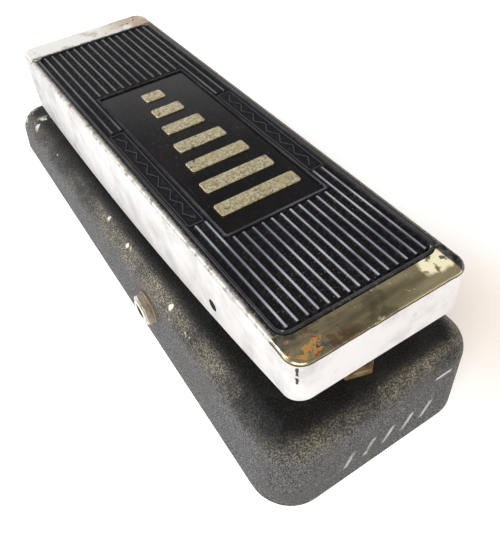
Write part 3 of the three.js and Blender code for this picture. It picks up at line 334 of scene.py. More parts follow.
# ---- material helpers ----
class Paint:
    """A node material with short calls for the nodes it needs."""

    def __init__(self, name, **uniform):
        self.material = bpy.data.materials.new(name)
        self.material.use_nodes = True
        self.tree = self.material.node_tree
        self.bsdf = self.tree.nodes["Principled BSDF"]
        self.coords = self.add("TexCoord").outputs["Object"]
        split = self.add("SeparateXYZ", Vector=self.coords)
        self.x, self.y, self.z = split.outputs
        for key, value in uniform.items():
            self.bsdf.inputs[key.replace("_", " ")].default_value = value

    def add(self, kind, *values, **options):
        """A node. Values feed its first sockets; an option feeds a named socket or is a setting."""
        node = self.tree.nodes.new("ShaderNode" + kind)
        for socket, value in zip(node.inputs, values):
            self.feed(socket, value)
        for key, value in options.items():
            if key in node.inputs:
                self.feed(node.inputs[key], value)
            else:
                setattr(node, key, value)
        return node

    def feed(self, socket, value):
        if isinstance(value, bpy.types.NodeSocket):
            self.tree.links.new(value, socket)
        elif isinstance(value, tuple) and len(value) == 3 and socket.type == "RGBA":
            socket.default_value = (*value, 1)
        else:
            socket.default_value = value

    def math(self, operation, a, b=0.0):
        return self.add("Math", a, b, operation=operation).outputs[0]

    def noise(self, scale, detail=3, rough=0.6, stretch=None, shift=0.0):
        """Noise over the object: scale is in waves per metre, shift moves it to another sample."""
        vector = self.coords
        if stretch or shift:
            place = (shift, shift * 0.7, shift * 1.3)
            vector = self.add("Mapping", vector, place, Scale=stretch or (1, 1, 1)).outputs[0]
        node = self.add("TexNoise", Vector=vector, Scale=scale, Detail=detail, Roughness=rough)
        return node.outputs["Fac"]

    def fade(self, value, start, end):
        """0 at start, 1 at end, smooth between; start may be above end."""
        return self.add("MapRange", value, start, end, interpolation_type="SMOOTHSTEP").outputs[0]

    def reach(self, value, start, end):
        """A fade between two places on an axis, in millimetres."""
        return self.fade(value, start * MM, end * MM)

    def band(self, value, start, full, full_end, end):
        """1 between full and full_end on an axis, 0 before start and past end, in millimetres."""
        return self.both(self.reach(value, start, full), self.reach(value, end, full_end))

    def patch(self, start, end, scale, *detail, **place):
        """Patches of noise: 0 where the noise is at start, 1 at end."""
        return self.fade(self.noise(scale, *detail, **place), start, end)

    def between(self, kind, first, result, *values):
        node = self.add("Mix", data_type=kind)
        for index, value in zip((0, first, first + 1), values):
            self.feed(node.inputs[index], value)
        return node.outputs[result]

    def mix(self, factor, a, b):
        """From colour a to colour b."""
        return self.between("RGBA", 6, 2, factor, a, b)

    def blend(self, factor, a, b):
        """From number a to number b."""
        return self.between("FLOAT", 2, 0, factor, a, b)

    def chain(self, operation, values):
        out = values[0]
        for value in values[1:]:
            out = self.math(operation, out, value)
        return out

    def both(self, *values):
        """The product: a mask where all hold, or a mask times its strength."""
        return self.chain("MULTIPLY", values)

    def either(self, *values):
        """The largest: a mask where any holds."""
        return self.chain("MAXIMUM", values)

    def plus(self, *values):
        return self.chain("ADD", values)

    def minus(self, a, b):
        return self.math("SUBTRACT", a, b)

    def radius(self, a, b):
        """Distance from an axis, from the coordinates across it."""
        return self.math("SQRT", self.plus(self.both(a, a), self.both(b, b)))

    def spot(self, x, y, z, radius, soft, noise=None, ragged=0.0):
        """1 inside a ball round a point, in millimetres, with a ragged edge from noise."""
        centre = (x * MM, y * MM, z * MM)
        distance = self.add("VectorMath", self.coords, centre, operation="DISTANCE").outputs["Value"]
        if noise is not None:
            distance = self.plus(distance, self.both(self.minus(noise, 0.5), ragged * MM))
        return self.reach(distance, radius + soft, radius - soft)

    def bump(self, height, strength, distance, normal=None):
        node = self.add("Bump", Height=height, Strength=strength, Distance=distance)
        if normal is not None:
            self.feed(node.inputs["Normal"], normal)
        return node.outputs[0]

    def finish(self, color=None, roughness=None, metallic=None, normal=None):
        sockets = {"Base Color": color, "Roughness": roughness, "Metallic": metallic, "Normal": normal}
        for socket, value in sockets.items():
            if value is not None:
                self.feed(self.bsdf.inputs[socket], value)
        return self.material


# ---- materials ----
# single chips along the base's left edge: x, y, z and radius
EDGE_CHIPS = ((-39.7, -48.0, 35.9, 1.2), (-38.3, 12.0, 32.1, 0.9), (-39.1, -8.0, 33.2, 1.0))
# the row of dashes on the toe face: their bottom and top, and the height where one crosses its own middle
DASH_COUNT, DASH_FIRST, DASH_PITCH, DASH_WIDTH, DASH_LEAN = 5, -15.0, 8.8, 2.0, 0.45
DASH_LOW, DASH_HIGH, DASH_MIDDLE = 13.0, 22.2, 17.0
SCRATCH_X0, SCRATCH_X1, SCRATCH_Z = 21.5, 29.2, 35.0
# brown stains on the skirt's left side: y, z and radius, in the treadle's frame
SIDE_STAINS = ((130.2, -8.0, 1.9), (127.0, -10.5, 1.2))
# dark upright chips on the treadle's near corner: their place, and the bottom and top of each
NEAR_CORNER_X, NEAR_CORNER_Y = -31.3, -45.1
NEAR_CHIPS = ((12.0, 16.2), (8.0, 11.4))


def wrinkle_paint():
    """Black crinkle paint, worn to tan grey along the rounded top edge, with chips, and with painted light
    and shade: lighter on the walls than on the deck.
    """
    p = Paint("wrinkle_paint", Specular_IOR_Level=0.22)
    grain = p.noise(1700, 3, 0.68)
    coarse = p.noise(620, 2, 0.5, shift=3.0)
    patches = p.noise(38, 4, shift=1.0)
    fine = p.noise(260, shift=5.0)
    # how far a point is below the deck's plane
    slope = (TOE_HEIGHT - HEEL_HEIGHT) / BASE_LENGTH
    below = p.minus(DECK_Z * MM, p.plus(p.z, p.both(p.y, slope)))
    wall = p.reach(below, 2, 10)
    edge = p.band(below, 0.1, 2, 4, 11)
    speck = p.fade(grain, 0.46, 0.6)
    # painted light and shade: the walls get a lighter copy of the black paint than the deck, which lies in
    # the treadle's shade
    shaded_deck_black = p.mix(p.fade(grain, 0.46, 0.66), (0.0006, 0.0006, 0.0006), (0.021, 0.02, 0.016))
    lit_wall_black = p.mix(p.fade(grain, 0.42, 0.6), (0.0035, 0.0035, 0.004), (0.112, 0.109, 0.108))
    color = p.mix(wall, shaded_deck_black, lit_wall_black)
    dust = p.both(p.patch(0.45, 0.75, 60, shift=7.0), p.plus(p.both(wall, 0.75), 0.25))
    color = p.mix(dust, color, (0.045, 0.043, 0.04))
    wear = p.both(edge, p.fade(patches, 0.3, 0.68), p.plus(p.both(speck, 0.66), 0.14))
    color = p.mix(wear, color, (0.3, 0.262, 0.195))
    chipped = p.both(edge, p.patch(0.665, 0.69, 95, 3, 0.65, shift=11.0), p.fade(coarse, 0.46, 0.62))
    heel_chips = p.either(
        p.spot(-41, 122, BASE_Z + 15, 7, 4, patches, 10),
        p.spot(-36, 103, BASE_Z + 20, 4.5, 2.5, patches, 8),
    )
    chips = p.either(chipped, p.both(heel_chips, p.fade(fine, 0.51, 0.55)))
    for x, y, z, radius in EDGE_CHIPS:
        chips = p.either(chips, p.spot(x, y, z, radius, 0.3, coarse, 2.4))
    color = p.mix(chips, color, (0.6, 0.56, 0.46))
    color = p.mix(white_marks(p, fine), color, (0.42, 0.42, 0.42))
    rough = p.blend(chips, p.blend(speck, 0.62, 0.46), 0.7)
    normal = p.bump(p.plus(grain, p.both(coarse, 0.6)), 0.6, 0.0003)
    return p.finish(color, rough, None, normal)


def white_marks(p, wear_and_highlight):
    """A row of slanted dashes in worn white paint on the toe face, and a scratch beside them."""
    toe = -BASE_LENGTH / 2
    lean = p.plus(p.x, p.both(p.minus(p.z, DASH_MIDDLE * MM), -DASH_LEAN))
    dashes = []
    for i in range(DASH_COUNT):
        off = p.math("ABSOLUTE", p.minus(lean, (DASH_FIRST + i * DASH_PITCH) * MM))
        dashes.append(p.reach(off, DASH_WIDTH / 2 + 0.2, DASH_WIDTH / 2 - 0.1))
    tall = p.band(p.z, DASH_LOW, DASH_LOW + 0.8, DASH_HIGH - 1, DASH_HIGH)
    worn = p.plus(p.both(p.fade(wear_and_highlight, 0.42, 0.56), 0.5), 0.3)
    row = p.both(p.reach(p.y, toe + 4.5, toe + 2), p.either(*dashes), tall, worn)
    scratch = p.both(
        p.reach(p.y, toe + 4.5, toe + 3.5),
        p.reach(p.math("ABSOLUTE", p.minus(p.z, SCRATCH_Z * MM)), 0.9, 0.5),
        p.band(p.x, SCRATCH_X0, SCRATCH_X0 + 0.7, SCRATCH_X1 - 0.8, SCRATCH_X1),
    )
    return p.either(row, scratch)


def chrome_sides(p, fine, mottle, height, top, ends):
    """Colour of the treadle's pale sides, and of the side rims beside the mat."""
    pale = p.mix(p.fade(mottle, 0.4, 0.74), (0.67, 0.645, 0.63), (0.48, 0.46, 0.45))
    stain = p.both(p.patch(0.6, 0.7, 42, 4, 0.65, shift=9.0), p.fade(fine, 0.4, 0.62))
    pale = p.mix(p.both(stain, 0.55), pale, (0.36, 0.33, 0.31))
    for y, z, radius in SIDE_STAINS:
        brown = p.spot(-TREADLE_WIDTH / 2, y, z, radius, 0.8, mottle, 3)
        pale = p.mix(p.both(brown, 0.75), pale, (0.45, 0.33, 0.21))
    # painted shade: the pale sides darken toward the heel end
    painted_heel_shade = p.both(p.reach(p.y, 100, 178), p.blend(p.fade(mottle, 0.4, 0.6), 0.55, 1.0))
    pale = p.mix(painted_heel_shade, pale, (0.335, 0.315, 0.305))
    streak = p.spot(10.5, TREADLE_TOE, 10.5, 1.0, 0.6, fine, 3)
    pale = p.mix(p.both(streak, 0.35), pale, (0.3, 0.3, 0.3))

    # the rims are chipped, gritty on the right, and dirty beside the mat
    grit = p.noise(1400, 2, shift=1.0)
    right = p.reach(p.x, 10, 20)
    rim = p.mix(p.patch(0.46, 0.66, 420, 3, 0.7, shift=6.0), (0.46, 0.43, 0.39), (0.2, 0.175, 0.145))
    gritty = p.mix(p.fade(grit, 0.44, 0.6), (0.03, 0.027, 0.022), (0.3, 0.265, 0.19))
    rim = p.mix(p.both(right, 0.88), rim, gritty)
    dirt = p.both(p.reach(p.math("ABSOLUTE", p.x), 31.7, 30.9), p.fade(grit, 0.28, 0.5))
    rim = p.mix(dirt, rim, (0.03, 0.024, 0.016))

    # nicks under the rims, blue-grey on the left
    nick = p.patch(0.6, 0.64, 300, shift=8.0, stretch=(1, 0.3, 1))
    nicks = p.both(nick, p.reach(height, TREADLE_TOP - 2.6, TREADLE_TOP - 1.6))
    left = p.both(p.band(p.y, -20, 4, 60, 78), p.reach(p.x, 0, -10))
    pale = p.mix(p.both(nicks, left), pale, (0.1, 0.15, 0.27))
    pale = p.mix(p.both(nicks, right), pale, (0.16, 0.15, 0.13))
    return p.mix(p.both(top, p.minus(1.0, ends)), pale, rim)


def rust_mask(p, mottle):
    area = p.spot(-26.5, -41, TREADLE_TOP, 5.0, 3.0, mottle, 16)
    return p.both(p.fade(area, 0.3, 0.42), p.patch(0.5, 0.53, 230, 4, 0.62, shift=3.5))


def flake_mask(p):
    """A flake of bare plating at the toe strip's right end."""
    area = p.spot(24.5, -38.6, TREADLE_TOP, 5.2, 1.0, p.noise(130, shift=2.5), 9)
    return p.both(area, p.patch(0.36, 0.44, 330, shift=6.2))


def toe_strip(p, fine, mottle, wander, streaks, rusty, bright):
    """Colour of the strip before the mat: streaked olive brown, grey and rusty on the left."""
    color = p.mix(p.fade(streaks, 0.34, 0.68), (0.255, 0.205, 0.105), (0.7, 0.585, 0.34))
    dark = p.patch(0.55, 0.64, 110, 4, 0.62, shift=5.5)
    color = p.mix(p.both(dark, 0.5), color, (0.125, 0.105, 0.07))
    left_end = p.reach(p.plus(p.x, p.both(mottle, 0.02)), 4, -10)
    slate = p.mix(p.patch(0.42, 0.6, 260, 4, shift=3.1), (0.11, 0.098, 0.08), (0.33, 0.3, 0.26))
    color = p.mix(p.both(left_end, p.patch(0.46, 0.58, 150, shift=9.5), 0.8), color, slate)
    brown_area = p.spot(-19, -41, TREADLE_TOP, 7.5, 4.0, mottle, 14)
    brown = p.both(brown_area, p.patch(0.5, 0.56, 170, 4, shift=7.5), 0.6)
    color = p.mix(brown, color, (0.23, 0.085, 0.03))
    rust = p.mix(p.patch(0.44, 0.52, 260, 3, 0.5, shift=4.5), (0.17, 0.045, 0.018), (0.4, 0.185, 0.04))
    color = p.mix(rusty, color, rust)
    flecks = p.both(p.patch(0.66, 0.69, 420, shift=10.5), p.reach(p.x, -20, 0))
    color = p.mix(p.either(bright, flecks), color, (0.9, 0.82, 0.55))
    corner_color = p.mix(p.fade(fine, 0.4, 0.6), (0.045, 0.042, 0.038), (0.15, 0.14, 0.125))
    corner = p.reach(p.plus(p.x, p.both(wander, 1.5)), 28.5, 29.2)
    return p.mix(corner, color, corner_color)


def heel_strip(p, fine, mottle, height):
    """Colour of the strip behind the mat: bright, browner at its right end, with dark specks."""
    tint = p.both(p.reach(p.x, 2, 28), p.fade(mottle, 0.36, 0.6))
    color = p.mix(p.both(tint, 0.8), (0.9, 0.86, 0.8), (0.42, 0.24, 0.125))
    specks = p.both(p.patch(0.61, 0.66, 330, shift=12.0), p.patch(0.46, 0.58, 70, 2, 0.5, shift=2.2))
    color = p.mix(specks, color, (0.07, 0.05, 0.035))
    grime = p.both(p.reach(p.y, POCKET_HEEL + 1.5, POCKET_HEEL + 0.5), p.fade(fine, 0.36, 0.56))
    color = p.mix(p.both(grime, 0.9), color, (0.075, 0.055, 0.03))
    blotch = p.patch(0.54, 0.64, 130, 4, 0.65, shift=13.0)
    color = p.mix(p.both(blotch, 0.55), color, (0.42, 0.35, 0.25))
    lip = p.both(p.reach(height, TREADLE_TOP - 0.15, TREADLE_TOP - 0.45), p.fade(fine, 0.34, 0.5))
    return p.mix(p.both(lip, 0.85), color, (0.22, 0.165, 0.1))


def near_chips(p, fine):
    off = p.radius(p.minus(p.x, NEAR_CORNER_X * MM), p.minus(p.y, NEAR_CORNER_Y * MM))
    ragged = p.plus(off, p.both(p.minus(fine, 0.5), 1.2 * MM))
    tall = p.either(*(p.band(p.z, low, low + 0.4, high - 0.4, high) for low, high in NEAR_CHIPS))
    return p.both(p.reach(ragged, 0.52, 0.36), tall)


def worn_chrome():
    """Dull chrome over a casting, with worn strips at its ends."""
    p = Paint("worn_chrome")
    fine = p.noise(700)
    mottle = p.noise(75, 4, shift=2.0)
    streaks = p.noise(60, 4, stretch=(0.3, 1.8, 1), shift=1.5)
    wander = p.both(p.minus(p.noise(180, shift=6.5), 0.5), 0.5 * MM)
    height = p.plus(p.z, wander)
    top = p.reach(height, TREADLE_TOP - 1.25, TREADLE_TOP - 0.95)
    toe = p.reach(p.y, MAT_TOE + 2.4, MAT_TOE + 1.4)
    heel = p.reach(p.y, POCKET_HEEL - 2.4, POCKET_HEEL - 1.4)
    strip, rusty, bright = p.both(top, toe), rust_mask(p, mottle), flake_mask(p)

    brown = toe_strip(p, fine, mottle, wander, streaks, rusty, bright)
    lip = p.both(toe, p.reach(height, TREADLE_TOP - 0.55, TREADLE_TOP - 0.75))
    brown = p.mix(lip, brown, (0.045, 0.038, 0.028))
    color = p.mix(strip, chrome_sides(p, fine, mottle, height, top, p.either(toe, heel)), brown)
    color = p.mix(p.both(top, heel), color, heel_strip(p, fine, mottle, height))
    chips = near_chips(p, fine)
    color = p.mix(chips, color, (0.03, 0.025, 0.02))
    # painted shade inside the pivot bore and on its rim
    bore = p.reach(p.radius(p.y, p.z), PIN_BORE + 0.18, PIN_BORE + 0.06)
    color = p.mix(bore, color, (0.035, 0.025, 0.015))

    dull = p.either(p.both(strip, p.either(rusty, p.both(bright, 0.8))), chips, bore)
    metal = p.blend(p.both(top, p.minus(1.0, toe)), 0.62, 0.45)
    metal = p.blend(dull, p.blend(strip, metal, 0.8), 0.1)
    rough = p.blend(strip, p.blend(mottle, 0.34, 0.5), p.blend(streaks, 0.14, 0.3))
    rough = p.blend(dull, rough, 0.8)
    wave = p.bump(p.noise(22, 3, 0.5, shift=4.0), 0.35, 0.0012)
    normal = p.bump(p.plus(fine, p.both(mottle, 1.5)), 0.1, 0.0003, wave)
    return p.finish(color, rough, metal, normal)


def tread_rubber():
    """Black rubber: dusty and gritty between the ribs, with a painted blue-grey highlight on their crests.
    """
    p = Paint("tread_rubber", Specular_Tint=(0.9, 0.92, 1.0, 1.0), Specular_IOR_Level=0.22)
    grit = p.noise(1500, 2)
    dust = p.noise(520, 3, 0.65, shift=3.0)
    smear = p.noise(45, shift=1.0)
    black = p.mix(p.fade(dust, 0.44, 0.74), (0.0012, 0.0011, 0.0012), (0.018, 0.015, 0.013))
    specks = p.both(p.fade(grit, 0.63, 0.69), p.fade(smear, 0.38, 0.62))
    black = p.mix(specks, black, (0.17, 0.135, 0.09))
    crest = p.reach(p.z, FIELD_Z + 0.66, FIELD_Z + 0.8)
    # a painted highlight: a pale blue-grey colour laid on the rib crests where the lamps would glint
    wear_and_highlight = p.mix(p.fade(smear, 0.3, 0.7), (0.15, 0.154, 0.18), (0.44, 0.445, 0.49))
    # the painted highlight, with worn as its strength, is weaker on the border than on the ribs, and weaker
    # on the ribs toward the heel, where less light falls
    across = p.math("ABSOLUTE", p.x)
    border = p.either(
        p.reach(across, 28.2, 28.6),
        p.reach(p.y, MAT_TOE + 2, MAT_TOE + 1.7),
        p.reach(p.y, MAT_HEEL - 2, MAT_HEEL - 1.7),
    )
    worn = p.blend(border, p.blend(p.reach(p.y, 80, -10), 0.26, 1.0), 0.1)
    color = p.mix(p.both(crest, worn), black, wear_and_highlight)
    # a painted highlight along the outline and zigzag ridges of the side strips
    outline = p.both(
        p.reach(p.z, FIELD_Z + 0.12, FIELD_Z + 0.26),
        p.band(across, STRIP_INNER - 0.5, STRIP_INNER - 0.2, STRIP_OUTER + 0.3, STRIP_OUTER + 0.7),
        p.band(p.y, STRIP_TOE, STRIP_TOE + 1, STRIP_HEEL - 1, STRIP_HEEL),
    )
    color = p.mix(p.both(outline, 0.7), color, (0.075, 0.078, 0.095))
    normal = p.bump(p.plus(grit, dust), 0.4, 0.00012)
    return p.finish(color, p.blend(crest, 0.72, 0.32), None, normal)


def gloss_panel():
    """Glossy black lacquer with dust and hair scratches."""
    p = Paint("gloss_panel", Coat_Weight=0.15, Coat_Roughness=0.1, Specular_IOR_Level=0.35)
    dust = p.noise(900)
    scratch = p.patch(0.7, 0.73, 60, 2, 0.5, stretch=(12, 0.25, 1), shift=5.0)
    color = p.mix(p.patch(0.4, 0.8, 40, shift=2.0), (0.003, 0.0024, 0.0022), (0.0105, 0.008, 0.007))
    color = p.mix(p.both(scratch, p.fade(dust, 0.4, 0.6)), color, (0.05, 0.042, 0.036))
    color = p.mix(p.fade(dust, 0.7, 0.74), color, (0.07, 0.06, 0.05))
    rough = p.blend(p.fade(dust, 0.4, 0.75), 0.11, 0.28)
    return p.finish(color, rough, None, p.bump(dust, 0.05, 0.0001))


def inlay_metal():
    """Pale cast metal with gold and grey speckles."""
    p = Paint("inlay_metal")
    speck = p.noise(1300, 3, 0.65)
    color = p.mix(p.fade(speck, 0.38, 0.6), (0.3, 0.255, 0.15), (0.72, 0.64, 0.42))
    color = p.mix(p.both(p.patch(0.46, 0.64, 110, shift=4.0), 0.5), color, (0.52, 0.41, 0.2))
    color = p.mix(p.patch(0.62, 0.68, 380, shift=8.0), color, (0.15, 0.115, 0.08))
    return p.finish(color, p.blend(speck, 0.55, 0.32), 0.6, p.bump(speck, 0.45, 0.0002))


def metal(name, light, dark, scale, rough, dull=0.0, metallic=1.0):
    """A metal with a mottled tone, patches of tarnish and a fine brushed bump."""
    p = Paint(name)
    fine = p.noise(scale * 6, 2, shift=2.0)
    color = p.mix(p.patch(0.35, 0.7, scale, 4), light, dark)
    stain = p.patch(0.56, 0.68, scale * 0.6, 4, 0.65, shift=5.0)
    color = p.mix(p.both(stain, dull), color, tuple(c * 0.35 for c in dark))
    roughness = p.blend(fine, rough * 0.8, min(1.0, rough * 1.35))
    return p.finish(color, roughness, metallic, p.bump(fine, 0.15, 0.00015))


def plastic(name, light, dark, scale, rough, bump=0.2):
    """Rubber, nylon, board or felt: a mottled, matt surface."""
    p = Paint(name)
    fine = p.noise(scale * 5, 3, 0.7, shift=2.0)
    color = p.mix(p.patch(0.35, 0.7, scale), light, dark)
    roughness = p.blend(fine, rough * 0.85, min(1.0, rough * 1.15))
    return p.finish(color, roughness, None, p.bump(fine, bump, 0.0002))


def jack_metal():
    """Plated steel of the jack's bush, with its bore in shadow and brown in its threads."""
    p = Paint("jack_metal")
    tone = p.noise(200)
    color = p.mix(p.fade(tone, 0.4, 0.7), (0.88, 0.85, 0.78), (0.6, 0.52, 0.4))
    bore = p.reach(p.radius(p.y, p.z), JACK_BORE + 0.18, JACK_BORE + 0.02)
    color = p.mix(bore, color, (0.01, 0.009, 0.008))
    rough = p.blend(bore, p.blend(tone, 0.28, 0.45), 0.8)
    return p.finish(color, rough, p.blend(bore, 0.8, 0.0), p.bump(tone, 0.1, 0.0001))


PAINT = wrinkle_paint()
JACK_METAL = jack_metal()
CHROME = worn_chrome()
RUBBER = tread_rubber()
GLOSS = gloss_panel()
INLAY = inlay_metal()
STEEL = metal("steel", (0.56, 0.55, 0.53), (0.36, 0.35, 0.33), 120, 0.34, 0.5)
NUT_METAL = metal("jack_nut_metal", (0.6, 0.55, 0.46), (0.34, 0.27, 0.18), 300, 0.3, 0.5, 0.85)
WASHER_METAL = metal("washer_metal", (0.42, 0.3, 0.18), (0.2, 0.12, 0.06), 300, 0.5, 0.6, 0.7)
TAN_METAL = metal("switch_nut_metal", (0.42, 0.3, 0.155), (0.2, 0.13, 0.06), 240, 0.42, 0.7, 0.75)
BRASS = metal("aged_brass", (0.6, 0.46, 0.22), (0.34, 0.24, 0.11), 150, 0.38, 0.5)
DARK_BRASS = metal("shaft_brass", (0.115, 0.08, 0.04), (0.05, 0.035, 0.018), 320, 0.55, 0.5, 0.15)
PLATE_METAL = metal("plate_metal", (0.5, 0.37, 0.19), (0.4, 0.24, 0.1), 18, 0.55, 0.3, 0.2)
FOOT_RUBBER = plastic("foot_rubber", (0.022, 0.022, 0.024), (0.05, 0.048, 0.046), 160, 0.75)
NYLON = plastic("nylon", (0.74, 0.71, 0.62), (0.6, 0.55, 0.44), 90, 0.45, 0.08)
PHENOLIC = plastic("phenolic", (0.16, 0.075, 0.035), (0.09, 0.042, 0.02), 140, 0.55)
FELT = plastic("felt", (0.28, 0.2, 0.12), (0.17, 0.12, 0.07), 600, 0.95, 0.8)
WIRE_RED = plastic("wire_red", (0.3, 0.025, 0.018), (0.22, 0.018, 0.013), 200, 0.5, 0.05)
WIRE_WHITE = plastic("wire_white", (0.7, 0.67, 0.58), (0.58, 0.54, 0.44), 200, 0.5, 0.05)
WIRE_BLACK = plastic("wire_black", (0.02, 0.02, 0.02), (0.035, 0.035, 0.035), 200, 0.5, 0.05)

# ---- base housing ----
BASE_PLAN = plan(BASE_WIDTH, -BASE_LENGTH / 2, BASE_LENGTH / 2, TOE_CORNER, HEEL_CORNER, 18, 30)
FEET = [(-FOOT_X, FOOT_TOE_Y), (FOOT_X, FOOT_TOE_Y), (-FOOT_X, FOOT_HEEL_Y), (FOOT_X, FOOT_HEEL_Y)]
RACK_Y = PIVOT_Y + RACK_ARM * cos(TREADLE_TILT)
SCREW_BORE, POST_RADIUS, POST_BORE_DEPTH = 1.8, 4.5, 9
BRACKET_SCREW_X, BRACKET_SCREW_HOLE, SWITCH_HOLE = 12, 2.1, 6.0
JACK_RECESS, JACK_HOLE, RACK_WINDOW = 8.6, 4.9, 6.5
POT_PLATE_Y = RACK_Y + 2.5 + 2.5
POT_SCREWS = [(1, POT_PLATE_Y + 7), (15, POT_PLATE_Y + 7)]


def on_deck(shape, x, y):
    """A shape made on the deck's surface under a given Y, in the row frame."""
    lifted = shape.moved(x, y / cos(DECK_SLOPE), 0).turned(-DECK_SLOPE, "X")
    return lifted.moved(0, 0, DECK_Z)


def make_housing():
    def wall_rings(wall, low):
        radius = BASE_EDGE - wall
        inset = lambda y: wall + BASE_DRAFT * (deck_height(y) - BASE_EDGE)
        shoulder = lambda y: BASE_Z + deck_height(y) - BASE_EDGE
        edge = wall - 0.35 if wall else 0.35
        rings = [ring(BASE_PLAN, edge, low), ring(BASE_PLAN, wall, low + 0.35)]
        for share in (0.35, 0.7, 1.0):
            depth = lambda y: wall + share * (inset(y) - wall)
            rings.append(ring(BASE_PLAN, depth, lambda y: low + 0.35 + share * (shoulder(y) - low - 0.35)))
        for angle in arc_angles(12):
            depth = lambda y: inset(y) + radius * (1 - cos(angle))
            rings.append(ring(BASE_PLAN, depth, lambda y: shoulder(y) + radius * sin(angle)))
        return rings

    shell = loft(wall_rings(BASE_WALL, BASE_Z)[::-1] + wall_rings(0, BASE_Z))
    housing = build("housing", shell)
    posts, cuts = Shape(), Shape()
    for x, y in FEET:
        posts += rod(POST_RADIUS, BASE_Z + 0.2, BASE_Z + deck_height(y) - 1.2).moved(x, y)
        cuts += rod(SCREW_BORE, BASE_Z - 1, BASE_Z + POST_BORE_DEPTH, sides=24).moved(x, y)
    for side in (-1, 1):
        ends = sorted((side * JACK_SEAT_X, side * BASE_WIDTH))
        inner = sorted((side * (JACK_SEAT_X - 10), side * (JACK_SEAT_X + 0.5)))
        cuts += rod(JACK_RECESS, *ends, "X", 64).moved(0, JACK_Y, JACK_Z)
        cuts += rod(JACK_HOLE, *inner, "X", 48).moved(0, JACK_Y, JACK_Z)
    half = RACK_WINDOW
    cuts += block(-half, half, RACK_Y - half, RACK_Y + half, BASE_Z + 15, BASE_Z + 50)
    for x in (-BRACKET_SCREW_X, BRACKET_SCREW_X):
        cuts += on_deck(rod(BRACKET_SCREW_HOLE, -10, 5, sides=32), x, PIVOT_Y)
    for x, y in POT_SCREWS:
        cuts += rod(SCREW_BORE, BASE_Z + 15, BASE_Z + 50, sides=24).moved(x, y)
    cuts += on_deck(rod(SWITCH_HOLE, -10, 5), SWITCH_X, SWITCH_Y)
    combine(housing, ("UNION", posts), ("DIFFERENCE", cuts))
    polish(housing)
    return place(housing, "base", "base_paint", PAINT, "base_housing")


make_housing()


def make_bottom_plate():
    inset, edge, top = 0.6, 0.2, PLATE_Z + PLATE_THICKNESS
    rings = [ring(BASE_PLAN, inset + edge, PLATE_Z), ring(BASE_PLAN, inset, PLATE_Z + edge)]
    rings += [ring(BASE_PLAN, inset, top - edge), ring(BASE_PLAN, inset + edge, top)]
    plate = build("bottom_plate", loft(rings))
    holes = Shape()
    for x, y in FEET:
        holes += rod(SCREW_BORE, 0, BASE_Z, sides=24).moved(x, y)
    polish(combine(plate, ("DIFFERENCE", holes)))
    return place(plate, "base", "steel", PLATE_METAL, "base_plate")


make_bottom_plate()


def make_feet():
    names = ["toe_left", "toe_right", "heel_left", "heel_right"]
    r, top = FOOT_RADIUS, FOOT_HEIGHT
    profile = [(SCREW_BORE, 1.4), (4, 1.4), (4.2, 1.2), (4.2, 0.2), (4.4, 0), (r - 0.9, 0), (r - 0.35, 0.2)]
    profile += [(r, 0.8), (r - 0.75, top - 0.2), (r - 1, top), (SCREW_BORE, top), (SCREW_BORE, 1.4)]
    for name, (x, y) in zip(names, FEET):
        foot = polish(build(f"rubber_foot_{name}", lathe(profile, 48).moved(x, y)), 40, weighted=False)
        place(foot, "base", "foot_rubber", FOOT_RUBBER, f"foot_{name}")


make_feet()


# ---- treadle ----
PRESS_BOSS_Y, PRESS_BOSS_Z, PRESS_BOSS_RADIUS = -34.5, 8.6, 6
HEEL_BOSS_X, HEEL_BOSS_Y, BOSS_RADIUS = 18.0, 172.0, 5
RACK_PIN_BORE, RACK_LUG_X0, RACK_LUG_X1 = 1.6, 4.2, 6.7
UNDERSIDE = TREADLE_TOP - TREADLE_DECK


